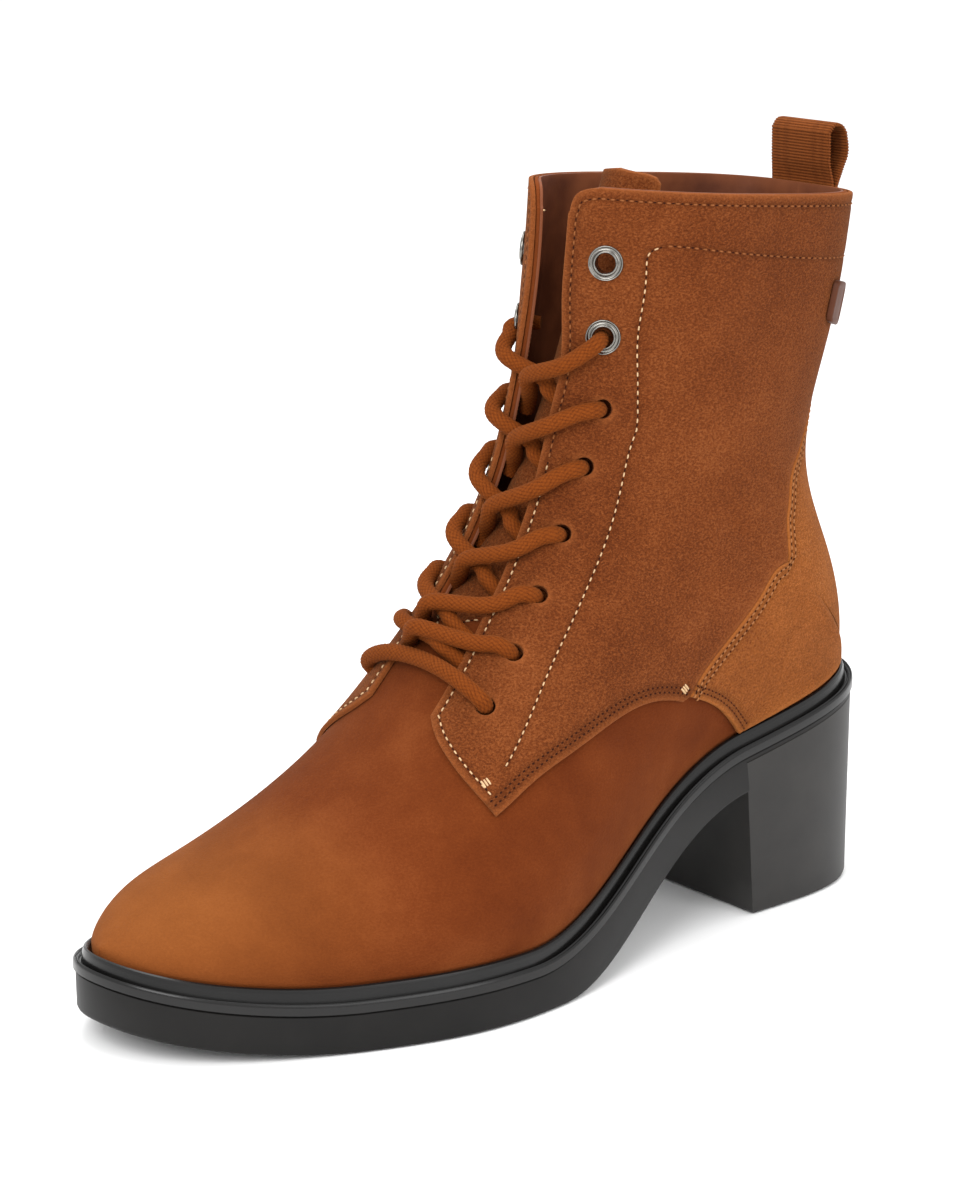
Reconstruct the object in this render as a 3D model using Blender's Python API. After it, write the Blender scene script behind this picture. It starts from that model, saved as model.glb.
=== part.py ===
"""Left lace-up ankle boot on a block heel.

Metres, +Z up, toe towards -Y, outer (lateral) side at +X.
The origin lies on the ground face of the heel, on the middle line of the seat.

The upper is one surface, the last.  A point of it is named by a flat pattern
position (s, u): s counts the stations of the table from the toe tip to the
collar, and u is the share of the way round a rib, from 0 on the ridge to +1 on
the outer and -1 on the inner feather edge or back line.  Every leather piece is
an outline cut in that flat pattern and laid on the last at its own height.
"""
from collections import namedtuple
import math

import bmesh
import bpy
from mathutils import geometry
import numpy as np

# Driving sizes of the sole
SOLE_LENGTH = 0.254
SOLE_BACK = 0.0355
FOREFOOT_THICK = 0.016
TOE_SPRING = 0.0085
WELT_WIDTH = 0.0055
WELT_HEIGHT = 0.0045
WELT_RECESS = 0.0006
REBATE = 0.0065
TREAD_FRONT = 0.055
FEATHER_FLAT = 0.104
TREAD_BACK = 0.115
HEEL_HEIGHT = 0.065
SEAT_FRONT_HEIGHT = 0.054
SEAT_RIM = 0.003
BREAST_TOP = -0.0245
BREAST_BASE = -0.019
HEEL_BASE_WIDTH = 0.061
EDGE_CHAMFER = 0.0012
INSOLE_THICK = 0.0025

# Driving sizes of the upper
BALL_WIDTH = 0.096
COLLAR_HEIGHT = 0.2025
UPPER_WALL = 0.0018
QUARTER_WALL = 0.0013
COUNTER_WALL = 0.0016
TONGUE_WALL = 0.0020
TONGUE_RISE = 0.002
TAB_WALL = 0.0016
TAB_WIDTH = 0.009
TAB_HEIGHT = 0.012
GAP = 0.0003
SEAM_GAP = 0.0005

# Driving sizes of the lacing and the loop
LACE_DIAMETER = 0.0052
HOLE_DIAMETER = 0.0050
EYELET_BORE = 0.0055
EYELET_FLANGE = 0.0095
EYELET_WALL = 0.0004
EYELET_LIP = 0.0009
LOOP_WIDTH = 0.0235
LOOP_RISE = 0.018
LOOP_DEPTH = 0.0080
LOOP_TAIL = 0.015
LOOP_FLAT_RISE = 0.007
LOOP_LEAN = 0.0014
LOOP_ASIDE = 0.0025
WEBBING = 0.0013

# Stations of the last.  Lengths are shares: back_y and ridge_y of the last's
# length behind the toe tip, back_z of the shaft above the heel feather, ridge_z
# of the collar height, and the others of the ball width.  The back columns count
# from the heel_back row up, the foot columns down to it.  widest is the share of
# the rib's depth with the full width; front and back are the roundness of the
# rib above and below it.
Station = namedtuple(
    "Station",
    "name back_y back_z ridge_y ridge_z centre lateral medial foot_lateral foot_medial"
    " widest front back",
)
STATIONS = [
    Station("tip", 1.000, 0.00, 0.000, 0.130, -0.070, 0.000, 0.000, 0.000, 0.000, 0.70, 2.0, 1.4),
    Station("toe_cap", 1.000, 0.00, 0.022, 0.148, -0.058, 0.188, 0.145, 0.175, 0.132, 0.70, 2.0, 1.4),
    Station("toes", 1.000, 0.00, 0.085, 0.190, -0.044, 0.325, 0.295, 0.305, 0.272, 0.72, 2.1, 1.4),
    Station("toe_root", 1.000, 0.00, 0.190, 0.230, -0.022, 0.436, 0.407, 0.411, 0.377, 0.74, 2.1, 1.4),
    Station("ball", 1.000, 0.00, 0.325, 0.318, 0.010, 0.512, 0.466, 0.474, 0.428, 0.74, 2.1, 1.4),
    Station("joint", 1.000, 0.00, 0.425, 0.445, 0.014, 0.490, 0.446, 0.426, 0.376, 0.72, 2.0, 1.4),
    Station("waist", 1.000, 0.00, 0.492, 0.540, 0.000, 0.420, 0.396, 0.330, 0.296, 0.68, 2.0, 1.4),
    Station("arch", 1.000, 0.00, 0.530, 0.622, -0.002, 0.384, 0.370, 0.305, 0.286, 0.65, 2.0, 1.3),
    Station("seat", 1.000, 0.00, 0.551, 0.692, 0.000, 0.368, 0.356, 0.284, 0.272, 0.62, 2.0, 1.25),
    Station("heel", 1.000, 0.00, 0.564, 0.750, 0.000, 0.368, 0.352, 0.192, 0.178, 0.60, 2.0, 1.35),
    Station("heel_back", 1.000, 0.00, 0.575, 0.802, 0.000, 0.358, 0.342, 0.000, 0.000, 0.57, 2.0, 2.0),
    Station("bulge", 0.982, 0.19, 0.584, 0.852, 0.000, 0.340, 0.330, 0.000, 0.000, 0.54, 2.0, 2.1),
    Station("ankle", 0.932, 0.44, 0.591, 0.903, 0.000, 0.325, 0.316, 0.000, 0.000, 0.52, 2.0, 2.4),
    Station("shaft", 0.960, 0.72, 0.597, 0.966, 0.000, 0.334, 0.310, 0.000, 0.000, 0.50, 2.0, 2.9),
    Station("collar", 0.985, 1.00, 0.601, 1.043, 0.000, 0.340, 0.302, 0.000, 0.000, 0.50, 2.0, 3.3),
]
HEEL_ROW = 10
TOP_ROW = len(STATIONS) - 1

# Flat pattern positions (s, u) on the outer side; the inner side mirrors them
THROAT_ROW = 5.35
FACING_EDGE = [(4.48, 0.150), (5.20, 0.125), (6.00, 0.105), (7.20, 0.080), (8.60, 0.062),
               (11.00, 0.055), (13.20, 0.056), (13.55, 0.060)]
TOP_CORNER = [(13.55, 0.060), (13.80, 0.068), (13.94, 0.088), (14.00, 0.120)]
QUARTER_POINT = [(4.35, 0.530), (4.30, 0.375), (4.36, 0.230), (4.48, 0.150)]
QUARTER_HEM = [(4.35, 0.530), (4.80, 0.517), (5.33, 0.552), (5.90, 0.605), (6.28, 0.665), (6.52, 0.738)]
SEAM = [(6.58, 0.730), (7.00, 0.690), (7.70, 0.655), (8.43, 0.625), (9.35, 0.588), (10.38, 0.575),
        (10.88, 0.595), (11.48, 0.660), (11.93, 0.745), (12.45, 0.840), (12.75, 0.920), (12.85, 1.000)]
COUNTER_FRONT = [(6.58, 0.730), (6.78, 0.820), (6.85, 0.900), (6.87, 0.968)]
COUNTER_FOOT = [(6.87, 0.968), (8.80, 0.972), (9.30, 0.958), (9.80, 0.938), (10.05, 0.945), (10.13, 1.000)]
HOLES = [(4.83, 0.275), (5.38, 0.250), (6.08, 0.220), (6.98, 0.185), (8.28, 0.155), (9.80, 0.140),
         (11.45, 0.140), (12.85, 0.145)]
METAL_HOLES = (7, 8)
TAB_PLACE = (13.17, 0.772)
TONGUE_FOOT = (4.60, 0.08)
TONGUE_EDGE = [(4.75, 0.16), (5.60, 0.27), (7.00, 0.25), (9.00, 0.21), (12.00, 0.18), (13.60, 0.165)]
TONGUE_CORNERS = [(-0.44, 0.162), (-0.29, 0.150), (-0.24, 0.125)]
TONGUE_DEPTH = [(4.6, 0.0022), (5.4, 0.0026), (6.4, 0.0042), (8.0, 0.0060), (14.0, 0.0070)]
TONGUE_LEAN = 0.010
TONGUE_LEAN_BASE = 0.125

SUEDE = (0.36, 0.13, 0.035)
RUBBER = (0.012, 0.011, 0.010)

LAST_BACK = SOLE_BACK - WELT_WIDTH
LAST_TIP = SOLE_BACK - SOLE_LENGTH + WELT_WIDTH
LAST_LENGTH = LAST_BACK - LAST_TIP


def spline(values, t):
    """Natural cubic spline through evenly spaced values, read at t."""
    values = np.asarray(values, float)
    count = len(values)
    system = np.eye(count)
    right = np.zeros(count)
    for i in range(1, count - 1):
        system[i, i - 1:i + 2] = 1, 4, 1
        right[i] = 6 * (values[i - 1] - 2 * values[i] + values[i + 1])
    bend = np.linalg.solve(system, right)
    t = np.clip(np.asarray(t, float), 0, count - 1)
    i = np.minimum(t.astype(int), count - 2)
    f = t - i
    g = 1 - f
    return (g * values[i] + f * values[i + 1]
            + (g**3 - g) * bend[i] / 6 + (f**3 - f) * bend[i + 1] / 6)


def column(name, s, first=0, last=None):
    """A column of the station table at any s, or only its rows from first to last."""
    last = len(STATIONS) - 1 if last is None else last
    return spline([getattr(row, name) for row in STATIONS[first:last + 1]], np.asarray(s) - first)


def curve(points, steps=4):
    """A smooth line through flat pattern points or routes, steps per span."""
    points = np.asarray(points, float)
    t = np.linspace(0, len(points) - 1, steps * (len(points) - 1) + 1)
    return np.stack([spline(points[:, k], t) for k in range(points.shape[1])], axis=1)


def feather_height(y, flat_back=FEATHER_FLAT):
    """Height of the feather edge, where upper and welt meet, along the sole.

    flat_back is where its flat stretch ends, behind the toe: the ground face is the
    same line with a longer flat stretch.
    """
    y = np.asarray(y, float)
    sole_tip = SOLE_BACK - SOLE_LENGTH
    tread_front = sole_tip + TREAD_FRONT
    rise_start = sole_tip + flat_back
    toe = TOE_SPRING * np.clip((tread_front - y) / TREAD_FRONT, 0, None)**1.8
    slope = (HEEL_HEIGHT - SEAT_FRONT_HEIGHT) / (SOLE_BACK - BREAST_TOP)
    span = BREAST_TOP - rise_start
    t = np.clip((y - rise_start) / span, 0, 1)
    rise = SEAT_FRONT_HEIGHT - FOREFOOT_THICK
    waist = rise * (3 * t**2 - 2 * t**3) + slope * span * (t**3 - t**2)
    seat = slope * np.clip(y - BREAST_TOP, 0, None)
    return FOREFOOT_THICK + toe + waist + seat


def last_point(s, u):
    """Points of the last's surface at flat pattern positions."""
    s = np.asarray(s, float).ravel()
    u = np.asarray(u, float).ravel()
    u = np.where((np.abs(u) > 1) & (s >= HEEL_ROW), u - 2 * np.sign(u), u)
    side = np.where(u < 0, -1.0, 1.0)
    share = np.clip(np.abs(u), 0, 1)
    along_foot = (1 - np.cos(np.clip(s / HEEL_ROW, 0, 1) * math.pi)) / 2
    bottom_y = LAST_TIP + LAST_LENGTH * np.where(s < HEEL_ROW, along_foot, column("back_y", s, HEEL_ROW))
    heel_z = feather_height(LAST_BACK)
    shaft_z = heel_z + (COLLAR_HEIGHT - heel_z) * column("back_z", s, HEEL_ROW)
    bottom_z = np.where(s < HEEL_ROW, feather_height(bottom_y), shaft_z)
    ridge_y = LAST_TIP + LAST_LENGTH * column("ridge_y", s)
    ridge_z = COLLAR_HEIGHT * column("ridge_z", s)
    outer = side > 0
    wide = BALL_WIDTH * np.where(outer, column("lateral", s), column("medial", s)).clip(1e-4)
    foot = BALL_WIDTH * np.where(outer, column("foot_lateral", s, 0, HEEL_ROW),
                                 column("foot_medial", s, 0, HEEL_ROW)).clip(0)
    foot = np.where(s >= HEEL_ROW, 0, np.minimum(foot, wide))
    widest = column("widest", s)[:, None]
    turn = np.linspace(0, math.pi / 2, 25)[None, :]
    upper_power = 2 / column("front", s)[:, None]
    lower_power = 2 / column("back", s)[:, None]
    cosine = np.cos(turn).clip(0)
    depth = np.concatenate([widest * (1 - cosine**upper_power),
                            widest + (1 - widest) * np.sin(turn[:, 1:])**lower_power], axis=1)
    across = np.concatenate([wide[:, None] * np.sin(turn)**upper_power,
                             foot[:, None] + (wide - foot)[:, None] * cosine[:, 1:]**lower_power], axis=1)
    y = ridge_y[:, None] + depth * (bottom_y - ridge_y)[:, None]
    z = ridge_z[:, None] + depth * (bottom_z - ridge_z)[:, None]
    steps = np.sqrt(np.diff(across, axis=1)**2 + np.diff(y, axis=1)**2 + np.diff(z, axis=1)**2)
    arc = np.concatenate([np.zeros((len(s), 1)), np.cumsum(steps, axis=1)], axis=1)
    want = share * arc[:, -1]
    row = np.arange(len(s))
    k = np.clip((arc < want[:, None]).sum(axis=1) - 1, 0, arc.shape[1] - 2)
    f = np.clip((want - arc[row, k]) / np.maximum(arc[row, k + 1] - arc[row, k], 1e-9), 0, 1)

    def pick(values):
        return values[row, k] * (1 - f) + values[row, k + 1] * f

    return np.stack([BALL_WIDTH * column("centre", s) + side * pick(across), pick(y), pick(z)], axis=1)


def last_normal(s, u):
    """Outward normals of the last at flat pattern positions."""
    s = np.maximum(np.asarray(s, float).ravel(), 0.02)
    u = np.asarray(u, float).ravel()
    step = 0.004
    u_low = np.where((u < -1 + step) & (s < HEEL_ROW), u, u - step)
    u_high = np.where((u > 1 - step) & (s < HEEL_ROW), u, u + step)
    along = last_point(np.minimum(s + step, TOP_ROW), u) - last_point(s - step, u)
    around = last_point(s, u_high) - last_point(s, u_low)
    normal = np.cross(around, along)
    return normal / np.linalg.norm(normal, axis=1)[:, None]


# The grid that all pieces share, so that layers have parallel facets
ROW_LINES = np.concatenate([[0, 0.2, 0.5, 0.8, 1.2, 1.6, 2.0, 2.5, 3.0, 3.5, 4.0, 4.5, 5.0, 5.5, 6.0, 6.7, 7.5, 8.3],
                            [9.2, 10.0, 10.5, 11.0, 11.5, 12.0, 12.6, 13.3, 14.0]])
HALF_COLUMNS = (1 - np.cos(np.linspace(0, math.pi, 12))) / 2
COLUMN_LINES = np.concatenate([-HALF_COLUMNS[:0:-1], HALF_COLUMNS])


def grid_tables():
    """Points and normals of the last at the crossings of the grid lines."""
    s, u = np.meshgrid(ROW_LINES, COLUMN_LINES, indexing="ij")
    points = last_point(s, u).reshape(s.shape + (3,))
    normals = last_normal(s, u).reshape(s.shape + (3,))
    tip = normals[0] + normals[0][::-1]
    normals[0] = tip / np.linalg.norm(tip, axis=1)[:, None]
    closed = ROW_LINES >= HEEL_ROW
    back = normals[closed, 0] + normals[closed, -1]
    back /= np.linalg.norm(back, axis=1)[:, None]
    normals[closed, 0] = back
    normals[closed, -1] = back
    return points, normals


GRID_POINTS, GRID_NORMALS = grid_tables()


def form(flat, height):
    """Lay flat pattern positions on the last, at a height above its surface."""
    flat = np.asarray(flat, float)
    s, u = flat[:, 0], flat[:, 1]
    i = np.clip(np.searchsorted(ROW_LINES, s, side="right") - 1, 0, len(ROW_LINES) - 2)
    j = np.clip(np.searchsorted(COLUMN_LINES, u, side="right") - 1, 0, len(COLUMN_LINES) - 2)
    a = ((s - ROW_LINES[i]) / (ROW_LINES[i + 1] - ROW_LINES[i]))[:, None]
    b = ((u - COLUMN_LINES[j]) / (COLUMN_LINES[j + 1] - COLUMN_LINES[j]))[:, None]
    outer = COLUMN_LINES[j] >= 0
    close = np.where(outer, j, j + 1)
    wide = np.where(outer, j + 1, j)
    b = np.where(outer[:, None], b, 1 - b)

    def blend(table):
        root, row = table[i, close], table[i + 1, close]
        side, far = table[i, wide], table[i + 1, wide]
        return np.where(a > b, root + (row - root) * a + (far - row) * b,
                        root + (side - root) * b + (far - side) * a)

    return blend(GRID_POINTS) + blend(GRID_NORMALS) * np.reshape(height, (-1, 1))


# Mesh helpers
def material(name, colour, roughness, metallic=0.0):
    """A Principled material."""
    made = bpy.data.materials.new(name)
    made.use_nodes = True
    shader = made.node_tree.nodes["Principled BSDF"]
    shader.inputs["Base Color"].default_value = (*colour, 1)
    shader.inputs["Roughness"].default_value = roughness
    shader.inputs["Metallic"].default_value = metallic
    return made


def add_object(name, points, faces, finish, smooth=True):
    """A mesh object with its faces turned outwards."""
    mesh = bpy.data.meshes.new(name)
    mesh.from_pydata([tuple(p) for p in points], [], [tuple(int(k) for k in f) for f in faces])
    work = bmesh.new()
    work.from_mesh(mesh)
    bmesh.ops.recalc_face_normals(work, faces=work.faces)
    work.to_mesh(mesh)
    work.free()
    if smooth:
        mesh.shade_smooth()
        mesh.set_sharp_from_angle(angle=math.radians(40))
    made = bpy.data.objects.new(name, mesh)
    made.data.materials.append(finish)
    bpy.context.collection.objects.link(made)
    return made


def loft(name, rings, finish, closed=False, ladder=False):
    """Skin a stack of equal rings.

    An open stack is capped at both ends: with one flat face, or, where the rings
    run from the toe tip down the outer side and back up the inner, with rungs
    from side to side that can follow a curved sole.
    """
    rings = np.asarray(rings, float)
    levels, count = rings.shape[:2]
    points = rings.reshape(-1, 3)
    faces = []
    for level in range(levels if closed else levels - 1):
        low = level * count
        high = (level + 1) % levels * count
        for k in range(count):
            n = (k + 1) % count
            faces.append((low + k, low + n, high + n, high + k))
    for end in (() if closed else (0, (levels - 1) * count)):
        if ladder:
            faces.append((end, end + 1, end + count - 1))
            faces.extend((end + k, end + k + 1, end + count - k - 1, end + count - k)
                         for k in range(1, count // 2 - 1))
            faces.append((end + count // 2 - 1, end + count // 2, end + count // 2 + 1))
        else:
            faces.append(tuple(end + k for k in range(count)))
    return add_object(name, points, faces, finish)


# Flat pattern helpers
PATTERN_STRETCH = 10.0


def inside(point, loops):
    """Whether a flat point lies inside an odd number of loops."""
    odd = False
    x, y = point
    for loop in loops:
        ahead = np.roll(loop, -1, axis=0)
        crosses = (loop[:, 1] > y) != (ahead[:, 1] > y)
        run = ahead[crosses] - loop[crosses]
        reach = loop[crosses, 0] + (y - loop[crosses, 1]) / run[:, 1] * run[:, 0]
        odd ^= bool((reach > x).sum() % 2)
    return odd


def span_of(lines, low, high):
    """The slice of grid lines that encloses the stretch from low to high."""
    first = max(np.searchsorted(lines, low, side="right") - 1, 0)
    last = min(np.searchsorted(lines, high, side="left") + 1, len(lines))
    return slice(first, last)


def cut_flat(loops):
    """Cut the outlines from the gridded flat pattern; returns points and triangles."""
    stretched = [np.asarray(loop) * (1, PATTERN_STRETCH) for loop in loops]
    every = np.concatenate(stretched)
    low, high = every.min(axis=0), every.max(axis=0)
    points, edges = [], []
    for loop in stretched:
        first = len(points)
        points.extend(map(tuple, loop))
        edges.extend((first + k, first + (k + 1) % len(loop)) for k in range(len(loop)))
    columns = COLUMN_LINES * PATTERN_STRETCH
    rows = ROW_LINES[span_of(ROW_LINES, low[0], high[0])]
    columns = columns[span_of(columns, low[1], high[1])]
    base, wide = len(points), len(columns)
    points.extend((s, u) for s in rows for u in columns)
    for i in range(len(rows)):
        for j in range(wide):
            here = base + i * wide + j
            if j + 1 < wide:
                edges.append((here, here + 1))
            if i + 1 < len(rows):
                edges.append((here, here + wide))
            if i + 1 < len(rows) and j + 1 < wide:
                edges.append((here, here + wide + 1) if columns[j] >= 0 else (here + 1, here + wide))
    found = geometry.delaunay_2d_cdt(points, edges, [], 0, 0.002)
    flat = np.array([tuple(p) for p in found[0]])
    kept = [face for face in found[2] if inside(flat[list(face)].mean(axis=0), stretched)]
    used = sorted({k for face in kept for k in face})
    place = {k: n for n, k in enumerate(used)}
    triangles = [tuple(place[k] for k in face) for face in kept]
    return flat[used] / (1, PATTERN_STRETCH), triangles


def panel(name, loops, outer, inner, finish):
    """A leather piece: outlines cut flat, laid on the last between two heights."""
    flat, triangles = cut_flat(loops)
    s = flat[:, 0]
    top = form(flat, outer(s) if callable(outer) else outer)
    under = form(flat, inner(s) if callable(inner) else inner)
    joined = (s < 1e-6) | ((s > HEEL_ROW - 1e-6) & (np.abs(flat[:, 1]) > 1 - 1e-6))
    places = np.round(np.column_stack([s, np.where(joined, np.abs(flat[:, 1]), flat[:, 1])]), 5)
    first, weld = {}, []
    for k, place in enumerate(places):
        weld.append(first.setdefault(tuple(place), k))
    triangles = [tuple(weld[k] for k in t) for t in triangles]
    triangles = [t for t in triangles if len(set(t)) == 3]
    used = sorted({k for t in triangles for k in t})
    place = {k: n for n, k in enumerate(used)}
    count = len(used)
    faces, rim = [], {}
    for a, b, c in (tuple(place[k] for k in t) for t in triangles):
        faces.append((a, b, c))
        faces.append((a + count, c + count, b + count))
        for edge in ((a, b), (b, c), (c, a)):
            rim[edge] = rim.get(edge, 0) + 1
    faces.extend((b, a, a + count, b + count) for a, b in rim if (b, a) not in rim)
    return add_object(name, np.concatenate([top[used], under[used]]), faces, finish)


def mirrored(loop):
    """The same outline on the inner side of the boot."""
    return np.asarray(loop)[::-1] * (1, -1)


def stretches(place):
    """How the last's surface moves, in metres, per step of s and of u at a place."""
    s, u = place
    step = 0.01
    here = last_point([s, s + step, s], [u, u, u + step])
    return (here[1:] - here[0]) / step


def punch(place, diameter, count=10):
    """A round hole of the leather as a loop in the flat pattern."""
    tangents = stretches(place)
    along = tangents[0] / np.linalg.norm(tangents[0])
    across = tangents[1] - along * np.dot(tangents[1], along)
    across /= np.linalg.norm(across)
    angles = np.arange(count) * 2 * math.pi / count
    wanted = diameter / 2 * (np.outer(np.cos(angles), along) + np.outer(np.sin(angles), across))
    return np.array(place) + wanted @ np.linalg.pinv(tangents)


def shifted(line, distance):
    """A flat pattern line moved sideways by a real distance on the last."""
    moved = []
    for place, run in zip(line, np.gradient(line, axis=0)):
        tangents = stretches(place)
        side = np.cross(np.cross(tangents[0], tangents[1]), run @ tangents)
        moved.append(place + distance * side / np.linalg.norm(side) @ np.linalg.pinv(tangents))
    return np.array(moved)


def place_on_last(place, height):
    """A single point above the last."""
    s, u = place
    return (last_point([s], [u]) + height * last_normal([s], [u]))[0]


def hole_loops(side):
    """All lace holes of one facing."""
    barrel = EYELET_BORE + 2 * EYELET_WALL + 4 * GAP
    sizes = [barrel if n + 1 in METAL_HOLES else HOLE_DIAMETER for n in range(len(HOLES))]
    return [punch((s, side * u), size) for (s, u), size in zip(HOLES, sizes)]


# Leather pieces
def upper_piece(suede):
    """Vamp and lining as one hollow shell: open at collar, throat and underneath."""
    edge = curve([p for p in FACING_EDGE if p[0] > THROAT_ROW] + TOP_CORNER[1:-1], 2)
    seam = np.array([(THROAT_ROW + 0.12, edge[0][1] * 0.96), (THROAT_ROW, edge[0][1] * 0.55)])
    outer = np.concatenate([seam[::-1], edge, TOP_CORNER[-1:]])
    throat = np.concatenate([outer[::-1], [(THROAT_ROW, 0)], outer * (1, -1)])
    around = np.array([(TOP_ROW, -1), (0, -1), (0, 1), (TOP_ROW, 1)])
    outline = np.concatenate([around, throat])
    return panel("upper", [outline, *hole_loops(1), *hole_loops(-1)], 0, -UPPER_WALL, suede)


def quarter_outline():
    """Eyestay, side and top band in one piece, up to the back line."""
    back = 1 - GAP / 2 / np.linalg.norm(stretches((TOP_ROW - 0.5, 0.98))[1])
    seam = shifted(curve(SEAM, 2), -SEAM_GAP)
    seam_top = seam[-1][0]
    seam = seam[seam[:, 1] < back - 0.005]
    return np.concatenate([
        curve(QUARTER_POINT, 2)[:-1],
        curve(FACING_EDGE, 2),
        TOP_CORNER[1:],
        [(TOP_ROW, back), (seam_top, back)],
        seam[::-1],
        curve(QUARTER_HEM, 2)[-2:0:-1] + (0, -0.001),
    ])


def quarter_pieces(suede):
    """The two facings, laid over the vamp."""
    outline = quarter_outline()
    top = GAP + QUARTER_WALL
    panel("quarter_lateral", [outline, *hole_loops(1)], top, GAP, suede)
    panel("quarter_medial", [mirrored(outline), *hole_loops(-1)], top, GAP, suede)


def counter_piece(suede):
    """The heel counter, one piece round the back."""
    seam = curve(SEAM, 2)
    front = curve(COUNTER_FRONT, 2)
    foot = np.array(COUNTER_FOOT)
    outline = np.concatenate([front[:-1], foot, seam[::-1][:-1]])
    return panel("counter", [outline, mirrored(outline)], GAP + COUNTER_WALL, GAP, suede)


def tongue_piece(suede):
    """The tongue, a sheet under the throat that stands a little above the collar."""
    rise = TONGUE_RISE / (COLLAR_HEIGHT * (STATIONS[-1].ridge_z - STATIONS[-2].ridge_z))
    top = TOP_ROW + rise
    edge = curve(TONGUE_EDGE, 2)
    corner = [(top + drop, share) for drop, share in TONGUE_CORNERS]
    half = np.concatenate([[TONGUE_FOOT], edge, corner])
    outline = np.concatenate([half, [(top, 0)], (half * (1, -1))[::-1]])
    rows, depths = zip(*TONGUE_DEPTH)

    def outer(s):
        return -np.interp(s, rows, depths)

    def inner(s):
        return outer(s) - TONGUE_WALL

    tongue = panel("tongue", [outline], outer, inner, suede)
    for vertex in tongue.data.vertices:
        climb = (vertex.co.z - TONGUE_LEAN_BASE) / (COLLAR_HEIGHT - TONGUE_LEAN_BASE)
        vertex.co.y += TONGUE_LEAN * max(climb, 0)**1.5
    return tongue


def tab_piece(finish):
    """A plain moulded tab near the back of the top band, on the outer side."""
    s, u = TAB_PLACE
    per_row, per_share = np.linalg.norm(stretches(TAB_PLACE), axis=1)
    cut = 0.8
    corners = [(1, cut), (cut, 1), (-cut, 1), (-1, cut), (-1, -cut), (-cut, -1), (cut, -1), (1, -cut)]
    outline = np.array([(s + a * TAB_HEIGHT / 2 / per_row, u + b * TAB_WIDTH / 2 / per_share)
                        for a, b in corners])
    seat = 2 * GAP + QUARTER_WALL
    return panel("side_tab", [outline], seat + TAB_WALL, seat, finish)


# Sole pieces
def sole_outline(grow):
    """The feather outline grown outwards in plan: a ring of points with their y."""
    rows = ROW_LINES[ROW_LINES <= HEEL_ROW]
    outer = last_point(rows, np.ones(len(rows)))
    inner = last_point(rows, -np.ones(len(rows)))
    ring = np.concatenate([outer, inner[-2:0:-1]])[:, :2]
    tangent = np.roll(ring, -1, axis=0) - np.roll(ring, 1, axis=0)
    normal = np.stack([tangent[:, 1], -tangent[:, 0]], axis=1)
    normal /= np.linalg.norm(normal, axis=1)[:, None]
    ahead = np.roll(ring, -1, axis=0)
    if np.sum(ring[:, 0] * ahead[:, 1] - ahead[:, 0] * ring[:, 1]) < 0:
        normal = -normal
    return ring + grow * normal


def sole_ring(grow, lift, flat_back=FEATHER_FLAT):
    """A ring of the sole at a lift above the feather edge."""
    ring = sole_outline(grow)
    return np.column_stack([ring, feather_height(ring[:, 1], flat_back) + lift])


WELT_PROFILE = [(-1.0, 0.0), (0.13, 0.0), (0.36, 0.29), (0.50, 0.42), (0.63, 0.24), (0.72, -0.26),
                (0.86, -0.40), (0.93, -0.36), (1.00, -0.50)]


def welt_piece(rubber):
    """The welt: a bead along the upper, a groove and a flat ledge with a raised edge.

    The profile's first value is a share of the welt's width (of the rebate where
    it is negative), the second a share of its height.
    """
    rings = []
    for out, up in WELT_PROFILE:
        width = WELT_WIDTH if out > 0 else REBATE
        rings.append(sole_ring(out * width, up * WELT_HEIGHT - GAP))
    floor = -GAP - 1.5 * WELT_HEIGHT
    rings.append(sole_ring(WELT_WIDTH, floor))
    rings.append(sole_ring(-REBATE, floor))
    return loft("welt", rings, rubber, closed=True)


def box_cutter(name, corners):
    """A six-sided cutter from its side view, as wide as the sole is long."""
    half = SOLE_LENGTH / 2
    points = [(x, y, z) for x in (-half, half) for y, z in corners]
    count = len(corners)
    faces = [tuple(range(count)), tuple(range(count, 2 * count))]
    faces += [(k, (k + 1) % count, count + (k + 1) % count, count + k) for k in range(count)]
    cutter = add_object(name, points, faces, material(name, RUBBER, 0.5), smooth=False)
    cutter.hide_render = True
    cutter.hide_viewport = False
    cutter.display_type = "WIRE"
    return cutter


def cut(target, cutter):
    """Take a cutter away from a solid."""
    step = target.modifiers.new("cut", "BOOLEAN")
    step.operation = "DIFFERENCE"
    step.solver = "EXACT"
    step.object = cutter


def seat_line(drop):
    """The seat plane in side view, as two points, at a drop below the feather."""
    ends = np.array([BREAST_TOP, SOLE_BACK])
    heights = feather_height(ends) - drop
    slope = (heights[1] - heights[0]) / (ends[1] - ends[0])
    far = SOLE_BACK + WELT_WIDTH
    return slope, heights[0], (far, heights[0] + slope * (far - BREAST_TOP))


LEDGE_DROP = 3 * GAP + 1.5 * WELT_HEIGHT
SEAT_DROP = LEDGE_DROP + SEAT_RIM


def outsole_piece(rubber):
    """Forefoot, waist and a thin seat; the middle rises inside the welt."""
    side = WELT_WIDTH - WELT_RECESS
    rings = [
        sole_ring(-REBATE - GAP, -GAP),
        sole_ring(-REBATE - GAP, -LEDGE_DROP),
        sole_ring(side, -LEDGE_DROP),
        sole_ring(side, EDGE_CHAMFER - FOREFOOT_THICK, TREAD_BACK),
        sole_ring(side - EDGE_CHAMFER, -FOREFOOT_THICK, TREAD_BACK),
    ]
    sole = loft("outsole", rings, rubber, ladder=True)
    slope, front_z, back = seat_line(SEAT_DROP)
    lean = (BREAST_BASE - BREAST_TOP) / front_z
    low = -0.01
    cutter = box_cutter("seat_cutter", [
        (BREAST_TOP - GAP, front_z),
        back,
        (back[0], low),
        (BREAST_TOP - GAP + lean * (front_z - low), low),
    ])
    cut(sole, cutter)
    return sole


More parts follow.
